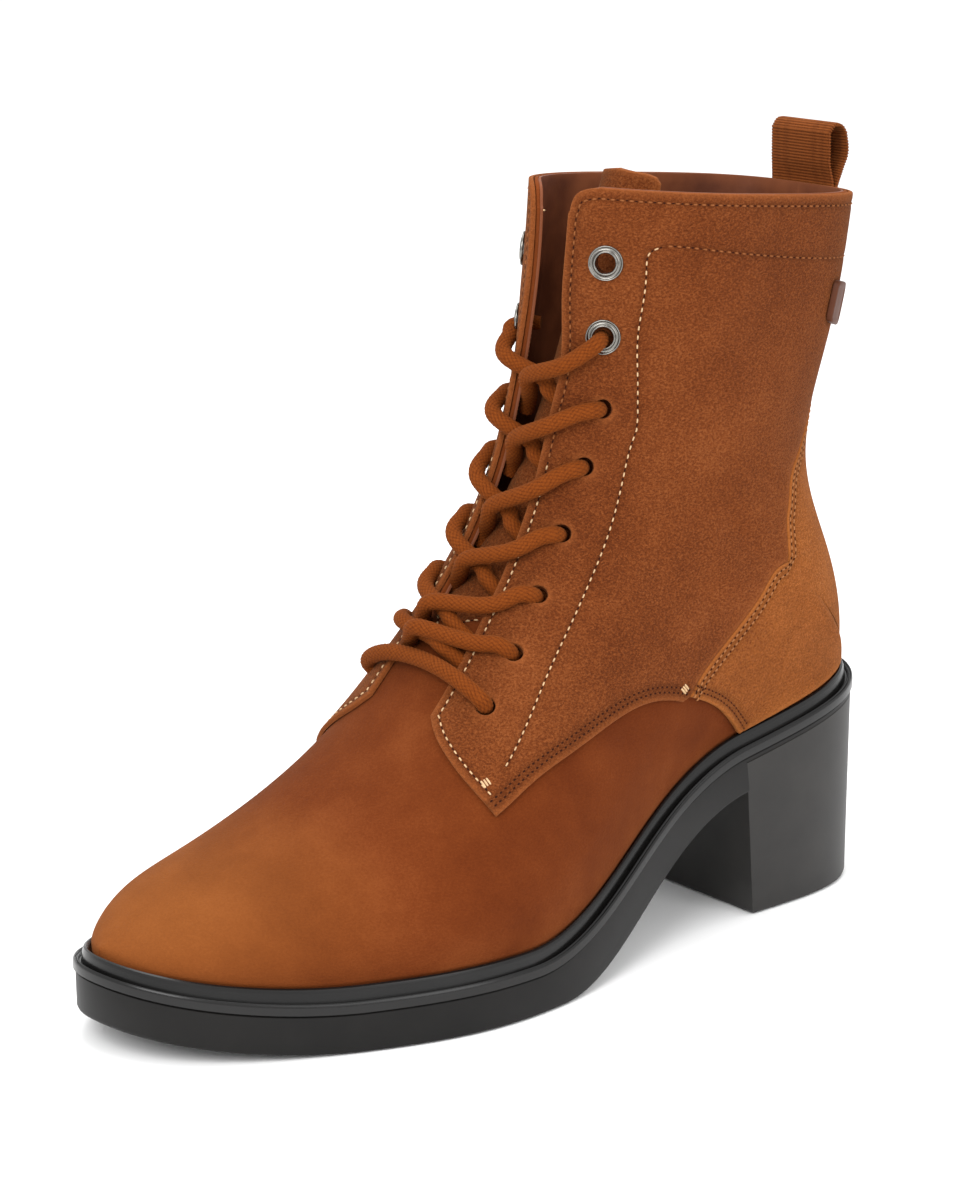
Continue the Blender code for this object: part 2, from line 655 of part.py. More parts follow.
def heel_piece(rubber):
    """The block heel: its top follows the seat, its breast leans and its base is flat."""
    side = WELT_WIDTH - WELT_RECESS
    plan = sole_outline(side)
    slope, front_z, _ = seat_line(SEAT_DROP + GAP)
    outer = plan[(plan[:, 0] > 0) & (plan[:, 1] > BREAST_TOP + 0.002)]
    inner = plan[(plan[:, 0] <= 0) & (plan[:, 1] > BREAST_TOP + 0.002)]
    outer = outer[np.argsort(outer[:, 1])]
    inner = inner[np.argsort(-inner[:, 1])]
    half = len(plan) // 2
    front = [np.interp(BREAST_TOP, g[:, 1], g[:, 0]) for g in (plan[:half], plan[:half:-1])]
    top = np.concatenate([[(front[0], BREAST_TOP)], outer, inner, [(front[1], BREAST_TOP)]])
    top_z = front_z + slope * (top[:, 1] - BREAST_TOP)
    ratio = HEEL_BASE_WIDTH / (front[0] - front[1])
    base = np.column_stack([
        top[:, 0] * ratio,
        BREAST_BASE + (top[:, 1] - BREAST_TOP) * (SOLE_BACK - WELT_RECESS - BREAST_BASE)
        / (SOLE_BACK - WELT_RECESS - BREAST_TOP),
    ])
    middle = base.mean(axis=0)
    shrink = 1 - EDGE_CHAMFER / (HEEL_BASE_WIDTH / 2)
    foot = middle + (base - middle) * shrink
    rings = [
        np.column_stack([top, top_z]),
        np.column_stack([base + (top - base) * EDGE_CHAMFER / front_z, np.full(len(base), EDGE_CHAMFER)]),
        np.column_stack([foot, np.zeros(len(base))]),
    ]
    return loft("heel", rings, rubber)


def insole_piece(finish):
    """The insole board with its sock, inside the foot of the upper."""
    grow = -UPPER_WALL - 5 * GAP
    rings = [sole_ring(grow, 0), sole_ring(grow, INSOLE_THICK)]
    return loft("insole", rings, finish, ladder=True)


# Lacing
def tube(name, route, diameter, finish, sides=6):
    """A round lace along a smooth route, with flat ends."""
    path = curve(route, 2)
    along = np.gradient(path, axis=0)
    along /= np.linalg.norm(along, axis=1)[:, None]
    rings = []
    side = np.cross(along[0], (0, 0, 1.0))
    for point, direction in zip(path, along):
        side = side - direction * np.dot(side, direction)
        side /= np.linalg.norm(side)
        other = np.cross(direction, side)
        angles = np.arange(sides) * 2 * math.pi / sides
        rings.append(point + diameter / 2 * (np.outer(np.cos(angles), side) + np.outer(np.sin(angles), other)))
    return loft(name, rings, finish)


def facing_share(s):
    """Share u of the facing's edge at s."""
    rows, shares = zip(*FACING_EDGE)
    return float(np.interp(s, rows, shares))


LACE_OVER = 2 * GAP + QUARTER_WALL + LACE_DIAMETER / 2
LACE_UNDER = -UPPER_WALL - LACE_DIAMETER / 2 - 2 * GAP
LACE_SLACK = 0.0005
LACE_TAUT = 0.0006
# Where a lace leaves the gap's far side, crosses its middle, climbs the near
# facing's edge and lies on the facing, as shares of the way to the next hole
LACE_SHARES = (0.05, 0.22, 0.42, 0.72)


def lace_bed(s):
    """Height of a lace that lies in the gap: on the vamp below the throat, on the tongue above."""
    rows, depths = zip(*TONGUE_DEPTH)
    bed = 0.0 if s < THROAT_ROW + 0.25 else -float(np.interp(s, rows, depths))
    return bed + 2 * GAP + LACE_DIAMETER / 2


def crossing_route(number, side, rise):
    """One lace of a crossing: from under the far facing's edge over to the next hole."""
    low, high = HOLES[number - 1], HOLES[number]
    bar = HOLES[0][0]
    clear_of_bar = bar + (LACE_DIAMETER + 3 * GAP) / np.linalg.norm(stretches((bar, 0.0))[0])
    begin = max(low[0], clear_of_bar)
    start, middle, edge, lying = (begin + (high[0] - begin) * share for share in LACE_SHARES)
    near = facing_share(edge)
    reach = near + (high[1] - near) * (lying - edge) / (high[0] - edge)
    rest = max(lace_bed(start), LACE_UNDER)
    taut = max(lace_bed(middle), LACE_TAUT)
    landing = LACE_OVER + (EYELET_LIP + GAP if number + 1 in METAL_HOLES else 0)
    route = [
        ((start, -side * facing_share(start) * 0.60), rest),
        ((middle, 0.0), taut + rise),
        ((edge, side * (near + 0.004)), LACE_OVER + LACE_SLACK),
        ((lying, side * reach), (LACE_OVER + landing) / 2 + LACE_SLACK),
        ((high[0], side * high[1]), landing + LACE_SLACK),
    ]
    return [place_on_last(place, height) for place, height in route]


def lace_pieces(finish):
    """The bottom bar and six crossings; the outer lace lies on top at each crossing."""
    s, u = HOLES[0]
    edge = facing_share(s)
    seated = LACE_OVER - GAP
    bar = [place_on_last((s, k * u), h) for k, h in
           ((1, seated), (edge / u, LACE_OVER), (0, lace_bed(s) + LACE_SLACK), (-edge / u, LACE_OVER),
            (-1, seated))]
    tube("lace_bar", bar, LACE_DIAMETER, finish)
    for number in range(1, len(HOLES) - 1):
        lift = 0.84 * LACE_DIAMETER
        over = tube(f"lace_cross_{number}", crossing_route(number, 1, lift), LACE_DIAMETER, finish)
        under = tube(f"lace_under_{number}", crossing_route(number, -1, 0), LACE_DIAMETER, finish)
        under.hide_render = True
        under.display_type = "WIRE"
        join = over.modifiers.new("join", "BOOLEAN")
        join.operation = "UNION"
        join.solver = "EXACT"
        join.object = under


def eyelet_pieces(finish):
    """Rolled metal eyelets in the two top holes of each facing."""
    bore = EYELET_BORE / 2
    barrel = bore + EYELET_WALL
    seat = 2 * GAP + QUARTER_WALL
    profile = [(bore, -UPPER_WALL), (barrel, -UPPER_WALL), (barrel, seat), (EYELET_FLANGE / 2, seat),
               (EYELET_FLANGE / 2 - 0.0004, seat + EYELET_LIP * 0.7), (barrel + 0.0004, seat + EYELET_LIP),
               (bore, seat + EYELET_LIP * 0.4)]
    count = 14
    for number in METAL_HOLES:
        for side, word in ((1, "lateral"), (-1, "medial")):
            s, u = HOLES[number - 1]
            place = (s, side * u)
            centre = place_on_last(place, 0)
            axis = last_normal([s], [side * u])[0]
            first = np.cross(axis, (0, 0, 1.0))
            first /= np.linalg.norm(first)
            second = np.cross(axis, first)
            angles = np.arange(count) * 2 * math.pi / count
            spokes = np.outer(np.cos(angles), first) + np.outer(np.sin(angles), second)
            rings = [centre + radius * spokes + height * axis for radius, height in profile]
            loft(f"eyelet_{word}_{number}", rings, finish, closed=True)


def loop_piece(finish):
    """The pull loop: webbing folded over, its tail on the back of the collar.

    The outer ring of its section is an oval with the lowest points drawn down into
    the tail, and the inner ring is the finger gap, which stays above the collar.
    """
    height = GAP * 2 + QUARTER_WALL
    pinch = 0.7
    foot = 0.002
    row = 0.02
    climb = (last_point([TOP_ROW], [1]) - last_point([TOP_ROW - row], [1]))[0]
    per_row = np.linalg.norm(climb) / row
    girth = np.linalg.norm((last_point([TOP_ROW], [1]) - last_point([TOP_ROW], [0.98]))[0]) / 0.02
    turn = np.linspace(-math.pi / 2, 3 * math.pi / 2, 16, endpoint=False)
    outer_half, inner_half = LOOP_DEPTH / 2, LOOP_DEPTH / 2 - WEBBING
    straight = LOOP_RISE - outer_half
    section = []
    for half in (outer_half, inner_half):
        rises = np.where(np.sin(turn) > 0, straight + half * np.sin(turn),
                         straight + (straight - WEBBING - foot / 2) * np.sin(turn))
        outs = outer_half + half * np.cos(turn) * np.where(np.sin(turn) > -0.8, 1, pinch)
        section.append(np.column_stack([outs, rises]))
    section[0][0] = (WEBBING, -LOOP_TAIL)
    section[0][1] = (2 * WEBBING + GAP, -foot)
    section[0][-1] = (0, -LOOP_TAIL)
    section[0][-2] = (0, foot / 2)
    profile = np.concatenate([section[0], section[1]])
    rings = []
    middle = last_point([TOP_ROW], [1])[0]
    straight_out = last_normal([TOP_ROW], [1])[0]
    for across in np.linspace(-LOOP_WIDTH / 2, LOOP_WIDTH / 2, 5) - LOOP_ASIDE:
        u = math.copysign(1 - abs(across) / girth, across)
        ring = []
        for out, rise in profile:
            s = TOP_ROW + min(rise, 0) / per_row
            curved = last_point([s], [u])[0] + last_normal([s], [u])[0] * (height + out)
            flat = middle + (across, 0, 0) + straight_out * (height + out - LOOP_LEAN)
            share = min(max(rise, 0) / LOOP_FLAT_RISE, 1)
            share = share * share * (3 - 2 * share)
            ring.append(curved * (1 - share) + flat * share + (0, 0, max(rise, 0)))
        rings.append(ring)
    rings = np.array(rings)
    count = len(turn)
    points = rings.reshape(-1, 3)
    faces = []
    for i in range(len(rings) - 1):
        for start in (0, count):
            for k in range(count):
                n = (k + 1) % count
                low, high = i * 2 * count + start, (i + 1) * 2 * count + start
                faces.append((low + k, low + n, high + n, high + k))
    for end in (0, (len(rings) - 1) * 2 * count):
        for k in range(count):
            n = (k + 1) % count
            faces.append((end + k, end + n, end + count + n, end + count + k))
    return add_object("pull_loop", points, faces, finish)


def main():
    """Build every piece of the boot."""
    for old in list(bpy.data.objects):
        bpy.data.objects.remove(old)
    suede = material("suede", SUEDE, 0.85)
    nubuck = material("nubuck", (0.38, 0.14, 0.04), 0.75)
    rubber = material("rubber", RUBBER, 0.45)
    lining = material("lining", (0.10, 0.035, 0.014), 0.95)
    lace = material("lace", (0.40, 0.13, 0.022), 0.8)
    nickel = material("nickel", (0.62, 0.60, 0.57), 0.25, 1.0)
    webbing = material("webbing", (0.30, 0.10, 0.025), 0.8)
    moulded = material("moulded_tab", (0.22, 0.07, 0.025), 0.5)
    outsole_piece(rubber)
    welt_piece(rubber)
    heel_piece(rubber)
    insole_piece(lining)
    upper_piece(nubuck)
    quarter_pieces(suede)
    counter_piece(suede)
    tongue_piece(suede)
    tab_piece(moulded)
    lace_pieces(lace)
    eyelet_pieces(nickel)
    loop_piece(webbing)


main()
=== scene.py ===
"""Looks of a left lace-up ankle boot in tan suede, on a black block heel.

Metres, +Z up, toe towards -Y, outer side at +X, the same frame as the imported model.

Leather pieces are outlines in the flat pattern (s, u) of the last, as in the model:
s counts the stations from the toe tip to the collar, and u is the share of the way
round a rib, from 0 on the ridge to +1 on the outer and -1 on the inner feather edge
or back line.  Here they are cut finely, with rounded edges and sunk stitch lines.
"""
import math
from collections import namedtuple

import bmesh
import bpy
import numpy as np
from mathutils import Matrix, Vector, geometry, kdtree

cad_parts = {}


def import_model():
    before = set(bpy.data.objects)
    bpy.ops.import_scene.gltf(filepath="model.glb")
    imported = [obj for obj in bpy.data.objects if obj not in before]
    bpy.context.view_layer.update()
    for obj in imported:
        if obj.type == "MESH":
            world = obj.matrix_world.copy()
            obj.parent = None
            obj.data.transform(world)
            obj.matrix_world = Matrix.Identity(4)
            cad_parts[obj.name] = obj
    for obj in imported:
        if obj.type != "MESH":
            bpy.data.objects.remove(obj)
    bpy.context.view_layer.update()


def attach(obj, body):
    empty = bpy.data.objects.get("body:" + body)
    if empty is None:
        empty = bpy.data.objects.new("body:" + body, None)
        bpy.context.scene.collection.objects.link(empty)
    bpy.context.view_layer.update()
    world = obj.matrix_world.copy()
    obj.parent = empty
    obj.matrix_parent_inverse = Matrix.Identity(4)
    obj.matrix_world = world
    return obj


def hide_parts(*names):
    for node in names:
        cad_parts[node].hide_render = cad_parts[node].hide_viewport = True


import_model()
BODY = "root"

MM = 0.001

# Sizes of the sole
SOLE_LENGTH = 0.254
SOLE_BACK = 0.0355
FOREFOOT_THICK = 0.016
TOE_SPRING = 0.0085
WELT_WIDTH = 0.0055
WELT_HEIGHT = 0.0045
WELT_RECESS = 0.0006
REBATE = 0.0065
TREAD_FRONT = 0.055
FEATHER_FLAT = 0.104
TREAD_BACK = 0.115
HEEL_HEIGHT = 0.065
SEAT_FRONT_HEIGHT = 0.054
BREAST_TOP = -0.0245
BREAST_BASE = -0.019
HEEL_BASE_WIDTH = 0.061
EDGE_CHAMFER = 0.0012
INSOLE_THICK = 0.0025

# Sizes of the upper
BALL_WIDTH = 0.096
COLLAR_HEIGHT = 0.2025
UPPER_WALL = 0.0018
VAMP_WALL = 0.0010
QUARTER_WALL = 0.0013
COUNTER_WALL = 0.0016
TONGUE_WALL = 0.0020
TONGUE_RISE = 0.002
TAB_WALL = 0.0016
TAB_WIDTH = 0.009
TAB_HEIGHT = 0.012
GAP = 0.0003
LACE_DIAMETER = 0.0047
HOLE_DIAMETER = 0.0050
EYELET_BORE = 0.0055
EYELET_FLANGE = 0.0095
EYELET_LIP = 0.0009
LOOP_WIDTH = 0.0235
LOOP_RISE = 0.018
LOOP_DEPTH = 0.0080
LOOP_TAIL = 0.015
LOOP_FLAT_RISE = 0.007
LOOP_LEAN = 0.0014
LOOP_ASIDE = 0.0025
WEBBING = 0.0013

# Stations of the last, as shares: see the model for the columns
Station = namedtuple(
    "Station",
    "name back_y back_z ridge_y ridge_z centre lateral medial foot_lateral foot_medial"
    " widest front back",
)
STATIONS = [
    Station("tip", 1.000, 0.00, 0.000, 0.130, -0.070, 0.000, 0.000, 0.000, 0.000, 0.70, 2.0, 1.4),
    Station("toe_cap", 1.000, 0.00, 0.022, 0.148, -0.058, 0.188, 0.145, 0.175, 0.132, 0.70, 2.0, 1.4),
    Station("toes", 1.000, 0.00, 0.085, 0.190, -0.044, 0.325, 0.295, 0.305, 0.272, 0.72, 2.1, 1.4),
    Station("toe_root", 1.000, 0.00, 0.190, 0.230, -0.022, 0.436, 0.407, 0.411, 0.377, 0.74, 2.1, 1.4),
    Station("ball", 1.000, 0.00, 0.325, 0.318, 0.010, 0.512, 0.466, 0.474, 0.428, 0.74, 2.1, 1.4),
    Station("joint", 1.000, 0.00, 0.425, 0.445, 0.014, 0.490, 0.446, 0.426, 0.376, 0.72, 2.0, 1.4),
    Station("waist", 1.000, 0.00, 0.492, 0.540, 0.000, 0.420, 0.396, 0.330, 0.296, 0.68, 2.0, 1.4),
    Station("arch", 1.000, 0.00, 0.530, 0.622, -0.002, 0.384, 0.370, 0.305, 0.286, 0.65, 2.0, 1.3),
    Station("seat", 1.000, 0.00, 0.551, 0.692, 0.000, 0.368, 0.356, 0.284, 0.272, 0.62, 2.0, 1.25),
    Station("heel", 1.000, 0.00, 0.564, 0.750, 0.000, 0.368, 0.352, 0.192, 0.178, 0.60, 2.0, 1.35),
    Station("heel_back", 1.000, 0.00, 0.575, 0.802, 0.000, 0.358, 0.342, 0.000, 0.000, 0.57, 2.0, 2.0),
    Station("bulge", 0.982, 0.19, 0.584, 0.852, 0.000, 0.340, 0.330, 0.000, 0.000, 0.54, 2.0, 2.1),
    Station("ankle", 0.932, 0.44, 0.591, 0.903, 0.000, 0.325, 0.316, 0.000, 0.000, 0.52, 2.0, 2.4),
    Station("shaft", 0.960, 0.72, 0.597, 0.966, 0.000, 0.334, 0.310, 0.000, 0.000, 0.50, 2.0, 2.9),
    Station("collar", 0.985, 1.00, 0.601, 1.043, 0.000, 0.340, 0.302, 0.000, 0.000, 0.50, 2.0, 3.3),
]
HEEL_ROW = 10
TOP_ROW = len(STATIONS) - 1
THROAT_ROW = 5.35

# Outlines in the flat pattern, on the outer side
FACING_EDGE = [(4.48, 0.150), (5.20, 0.125), (6.00, 0.105), (7.20, 0.080), (8.60, 0.062),
               (11.00, 0.055), (13.20, 0.056), (13.55, 0.060)]
TOP_CORNER = [(13.55, 0.060), (13.80, 0.068), (13.94, 0.088), (14.00, 0.120)]
QUARTER_POINT = [(4.35, 0.530), (4.30, 0.375), (4.36, 0.230), (4.48, 0.150)]
QUARTER_HEM = [(4.35, 0.530), (4.80, 0.517), (5.33, 0.552), (5.90, 0.605), (6.28, 0.665), (6.52, 0.738)]
SEAM = [(6.58, 0.730), (7.00, 0.690), (7.70, 0.655), (8.43, 0.625), (9.35, 0.588), (10.38, 0.575),
        (10.88, 0.595), (11.48, 0.660), (11.93, 0.745), (12.45, 0.840), (12.75, 0.920), (12.85, 1.000)]
COUNTER_FRONT = [(6.58, 0.730), (6.78, 0.820), (6.85, 0.900), (6.87, 0.968)]
COUNTER_FOOT = [(6.87, 0.968), (8.80, 0.972), (9.30, 0.958), (9.80, 0.938), (10.05, 0.945), (10.13, 1.000)]
HOLES = [(4.83, 0.275), (5.38, 0.250), (6.08, 0.220), (6.98, 0.185), (8.28, 0.155), (9.80, 0.140),
         (11.45, 0.140), (12.85, 0.145)]
METAL_HOLES = (7, 8)
TAB_PLACE = (13.17, 0.772)
TONGUE_FOOT = (4.60, 0.08)
TONGUE_EDGE = [(4.75, 0.16), (5.60, 0.27), (7.00, 0.25), (9.00, 0.21), (12.00, 0.18), (13.60, 0.165)]
TONGUE_CORNERS = [(-0.45, 0.162), (-0.18, 0.154), (-0.09, 0.138), (-0.05, 0.110), (-0.03, 0.060)]
TONGUE_DEPTH = [(4.6, 0.0022), (5.4, 0.0026), (6.4, 0.0042), (8.0, 0.0060), (14.0, 0.0070)]
TONGUE_LEAN = 0.013
TONGUE_LEAN_BASE = 0.125

# Stitch rows in the flat pattern, on the outer side
STAY_ROW = [(4.62, 0.435), (5.40, 0.365), (6.18, 0.330), (7.10, 0.285), (8.53, 0.230), (10.55, 0.200),
            (12.18, 0.228), (12.93, 0.228), (13.18, 0.232), (13.30, 0.262), (13.36, 0.345), (13.45, 0.600),
            (13.53, 0.835), (13.54, 1.000)]
THROAT_SEAM = [(5.43, 0.105), (5.33, 0.060), (5.20, 0.028), (5.15, 0.002)]
BAR_TACKS = [(4.42, 0.435), (6.58, 0.700)]
# Above this row, and past this point of the stay row, the thread is brown
LIGHT_ROWS = 8.0
STAY_TURN = 9

# Creases of the worn-in leather: a line in the flat pattern, its depth and its half
# width in metres; a negative depth is a ridge
CREASES = [
    ([(7.10, 0.40), (7.55, 0.48), (7.95, 0.57)], 0.0011, 0.0050),
    ([(7.75, 0.33), (8.30, 0.42), (8.80, 0.53)], -0.0007, 0.0055),
    ([(8.60, 0.30), (9.20, 0.40), (9.60, 0.52)], 0.0010, 0.0050),
    ([(10.60, 0.34), (11.00, 0.50), (11.20, 0.62)], 0.0008, 0.0060),
    ([(11.90, 0.42), (12.10, 0.55), (12.30, 0.70)], -0.0006, 0.0065),
    ([(5.60, 0.62), (6.00, 0.74), (6.20, 0.84)], 0.0007, 0.0050),
]

LAST_BACK = SOLE_BACK - WELT_WIDTH
LAST_TIP = SOLE_BACK - SOLE_LENGTH + WELT_WIDTH
LAST_LENGTH = LAST_BACK - LAST_TIP


def spline(values, t):
    """Natural cubic spline through evenly spaced values, read at t."""
    values = np.asarray(values, float)
    count = len(values)
    system = np.eye(count)
    right = np.zeros(count)
    for i in range(1, count - 1):
        system[i, i - 1:i + 2] = 1, 4, 1
        right[i] = 6 * (values[i - 1] - 2 * values[i] + values[i + 1])
    bend = np.linalg.solve(system, right)
    t = np.clip(np.asarray(t, float), 0, count - 1)
    i = np.minimum(t.astype(int), count - 2)
    f = t - i
    g = 1 - f
    return (g * values[i] + f * values[i + 1]
            + (g**3 - g) * bend[i] / 6 + (f**3 - f) * bend[i + 1] / 6)


def column(name, s, first=0, last=None):
    """A column of the station table at any s, or only its rows from first to last."""
    last = len(STATIONS) - 1 if last is None else last
    return spline([getattr(row, name) for row in STATIONS[first:last + 1]], np.asarray(s) - first)


def curve(points, steps=8):
    """A smooth line through points, steps per span."""
    points = np.asarray(points, float)
    t = np.linspace(0, len(points) - 1, steps * (len(points) - 1) + 1)
    return np.stack([spline(points[:, k], t) for k in range(points.shape[1])], axis=1)


def feather_height(y, flat_back=FEATHER_FLAT):
    """Height of the feather edge, where upper and welt meet, along the sole."""
    y = np.asarray(y, float)
    sole_tip = SOLE_BACK - SOLE_LENGTH
    tread_front = sole_tip + TREAD_FRONT
    rise_start = sole_tip + flat_back
    toe = TOE_SPRING * np.clip((tread_front - y) / TREAD_FRONT, 0, None)**1.8
    slope = (HEEL_HEIGHT - SEAT_FRONT_HEIGHT) / (SOLE_BACK - BREAST_TOP)
    span = BREAST_TOP - rise_start
    t = np.clip((y - rise_start) / span, 0, 1)
    rise = SEAT_FRONT_HEIGHT - FOREFOOT_THICK
    waist = rise * (3 * t**2 - 2 * t**3) + slope * span * (t**3 - t**2)
    seat = slope * np.clip(y - BREAST_TOP, 0, None)
    return FOREFOOT_THICK + toe + waist + seat


RIB_STEPS = 61
CHUNK = 8000


def last_point(s, u):
    """Points of the last's surface at flat pattern positions."""
    s = np.asarray(s, float).ravel()
    u = np.asarray(u, float).ravel()
    if len(s) > CHUNK:
        cuts = range(0, len(s), CHUNK)
        return np.concatenate([last_point(s[k:k + CHUNK], u[k:k + CHUNK]) for k in cuts])
    u = np.where((np.abs(u) > 1) & (s >= HEEL_ROW), u - 2 * np.sign(u), u)
    side = np.where(u < 0, -1.0, 1.0)
    share = np.clip(np.abs(u), 0, 1)
    along_foot = (1 - np.cos(np.clip(s / HEEL_ROW, 0, 1) * math.pi)) / 2
    bottom_y = LAST_TIP + LAST_LENGTH * np.where(s < HEEL_ROW, along_foot, column("back_y", s, HEEL_ROW))
    heel_z = feather_height(LAST_BACK)
    shaft_z = heel_z + (COLLAR_HEIGHT - heel_z) * column("back_z", s, HEEL_ROW)
    bottom_z = np.where(s < HEEL_ROW, feather_height(bottom_y), shaft_z)
    ridge_y = LAST_TIP + LAST_LENGTH * column("ridge_y", s)
    ridge_z = COLLAR_HEIGHT * column("ridge_z", s)
    outer = side > 0
    wide = BALL_WIDTH * np.where(outer, column("lateral", s), column("medial", s)).clip(1e-4)
    foot = BALL_WIDTH * np.where(outer, column("foot_lateral", s, 0, HEEL_ROW),
                                 column("foot_medial", s, 0, HEEL_ROW)).clip(0)
    foot = np.where(s >= HEEL_ROW, 0, np.minimum(foot, wide))
    widest = column("widest", s)[:, None]
    turn = np.linspace(0, math.pi / 2, RIB_STEPS)[None, :]
    upper_power = 2 / column("front", s)[:, None]
    lower_power = 2 / column("back", s)[:, None]
    cosine = np.cos(turn).clip(0)
    depth = np.concatenate([widest * (1 - cosine**upper_power),
                            widest + (1 - widest) * np.sin(turn[:, 1:])**lower_power], axis=1)
    across = np.concatenate([wide[:, None] * np.sin(turn)**upper_power,
                             foot[:, None] + (wide - foot)[:, None] * cosine[:, 1:]**lower_power], axis=1)
    y = ridge_y[:, None] + depth * (bottom_y - ridge_y)[:, None]
    z = ridge_z[:, None] + depth * (bottom_z - ridge_z)[:, None]
    steps = np.sqrt(np.diff(across, axis=1)**2 + np.diff(y, axis=1)**2 + np.diff(z, axis=1)**2)
    arc = np.concatenate([np.zeros((len(s), 1)), np.cumsum(steps, axis=1)], axis=1)
    want = share * arc[:, -1]
    row = np.arange(len(s))
    k = np.clip((arc < want[:, None]).sum(axis=1) - 1, 0, arc.shape[1] - 2)
    f = np.clip((want - arc[row, k]) / np.maximum(arc[row, k + 1] - arc[row, k], 1e-9), 0, 1)

    def pick(values):
        return values[row, k] * (1 - f) + values[row, k + 1] * f

    return np.stack([BALL_WIDTH * column("centre", s) + side * pick(across), pick(y), pick(z)], axis=1)


def last_normal(s, u):
    """Outward normals of the last at flat pattern positions."""
    s = np.maximum(np.asarray(s, float).ravel(), 0.02)
    u = np.asarray(u, float).ravel()
    step = 0.006
    u_low = np.where((u < -1 + step) & (s < HEEL_ROW), u, u - step)
    u_high = np.where((u > 1 - step) & (s < HEEL_ROW), u, u + step)
    along = last_point(np.minimum(s + step, TOP_ROW), u) - last_point(s - step, u)
    around = last_point(s, u_high) - last_point(s, u_low)
    normal = np.cross(around, along)
    return normal / np.linalg.norm(normal, axis=1)[:, None]


def lay(flat, height):
    """Flat pattern positions laid on the last, at a height above its surface."""
    flat = np.asarray(flat, float)
    s = np.minimum(flat[:, 0], TOP_ROW)
    over = (flat[:, 0] - s)[:, None]
    point = last_point(s, flat[:, 1])
    if over.any():
        climb = (point - last_point(s - 0.1, flat[:, 1])) / 0.1
        point = point + climb * over
    height = np.broadcast_to(height, s.shape)[:, None]
    return point + last_normal(s, flat[:, 1]) * height


def stretches(place):
    """How the last's surface moves, in metres, per step of s and of u at a place."""
    s, u = place
    step = 0.01
    here = last_point([s, s + step, s], [u, u, u + step])
    return (here[1:] - here[0]) / step


def shifted(line, distance):
    """A flat pattern line moved sideways by a real distance on the last."""
    moved = []
    line = np.asarray(line, float)
    for place, run in zip(line, np.gradient(line, axis=0)):
        tangents = stretches(place)
        side = np.cross(np.cross(tangents[0], tangents[1]), run @ tangents)
        moved.append(place + distance * side / np.linalg.norm(side) @ np.linalg.pinv(tangents))
    return np.array(moved)


def mirrored(loop):
    """The same outline on the inner side of the boot."""
    return np.asarray(loop)[::-1] * (1, -1)


def facing_share(s):
    """Share u of the facing's edge at s."""
    rows, shares = zip(*FACING_EDGE)
    return float(np.interp(s, rows, shares))


# A nearly true-length chart of the flat pattern, for even mesh spacing
CHART_ROWS = np.linspace(0, TOP_ROW, 281)
CHART_SHARES = np.linspace(0.05, 0.95, 10)


def chart_tables():
    """Distance along the boot and rib length at every chart row."""
    s, u = np.meshgrid(CHART_ROWS, CHART_SHARES, indexing="ij")
    points = last_point(s, u).reshape(s.shape + (3,))
    strides = np.linalg.norm(np.diff(points, axis=0), axis=2).mean(axis=1)
    along = np.concatenate([[0], np.cumsum(strides)])
    spans = np.linalg.norm(np.diff(points, axis=1), axis=2).sum(axis=1)
    return along, spans / (CHART_SHARES[-1] - CHART_SHARES[0])


CHART_ALONG, CHART_LENGTH = chart_tables()
ROW_STRETCH = CHART_ALONG[-1] / TOP_ROW


def to_chart(flat):
    """Flat pattern positions as metres on the chart."""
    flat = np.asarray(flat, float)
    over = np.clip(flat[:, 0] - TOP_ROW, 0, None) * ROW_STRETCH
    x = np.interp(flat[:, 0], CHART_ROWS, CHART_ALONG) + over
    return np.column_stack([x, flat[:, 1] * np.interp(flat[:, 0], CHART_ROWS, CHART_LENGTH)])


def from_chart(places):
    """Chart metres back to flat pattern positions."""
    over = np.clip(places[:, 0] - CHART_ALONG[-1], 0, None) / ROW_STRETCH
    s = np.interp(places[:, 0], CHART_ALONG, CHART_ROWS) + over
    return np.column_stack([s, places[:, 1] / np.interp(s, CHART_ROWS, CHART_LENGTH)])


def evenly(line, step, closed=False):
    """A polyline resampled to even steps, its corners kept only roughly."""
    line = np.asarray(line, float)
    if closed:
        line = np.concatenate([line, line[:1]])
    runs = np.linalg.norm(np.diff(line, axis=0), axis=1)
    reach = np.concatenate([[0], np.cumsum(runs)])
    count = max(2, int(round(reach[-1] / step)) + 1)
    wanted = np.linspace(0, reach[-1], count)
    even = np.stack([np.interp(wanted, reach, line[:, k]) for k in range(line.shape[1])], axis=1)
    return even[:-1] if closed else even


def refined(loop, step):
    """A closed outline with every side split to the step, all its corners kept."""
    points = []
    for here, ahead in zip(loop, np.roll(loop, -1, axis=0)):
        pieces = max(1, int(math.ceil(np.linalg.norm(ahead - here) / step)))
        points.extend(here + (ahead - here) * k / pieces for k in range(pieces))
    return np.array(points)


def charted(loop):
    """A flat pattern outline on the chart, its long sides split first so they keep their run."""
    split = refined(np.asarray(loop, float) * (1, 20), 0.25) / (1, 20)
    return refined(to_chart(split), OUTLINE_STEP)


def inside(points, loops):
    """Which points lie inside an odd number of loops."""
    odd = np.zeros(len(points), bool)
    for loop in loops:
        ahead = np.roll(loop, -1, axis=0)
        for start in range(0, len(points), CHUNK):
            part = points[start:start + CHUNK]
            x, y = part[:, :1], part[:, 1:]
            crosses = (loop[:, 1] > y) != (ahead[:, 1] > y)
            rise = np.where(ahead[:, 1] == loop[:, 1], 1, ahead[:, 1] - loop[:, 1])
            reach = loop[:, 0] + (y - loop[:, 1]) / rise * (ahead[:, 0] - loop[:, 0])
            odd[start:start + CHUNK] ^= ((crosses & (reach > x)).sum(axis=1) % 2).astype(bool)
    return odd


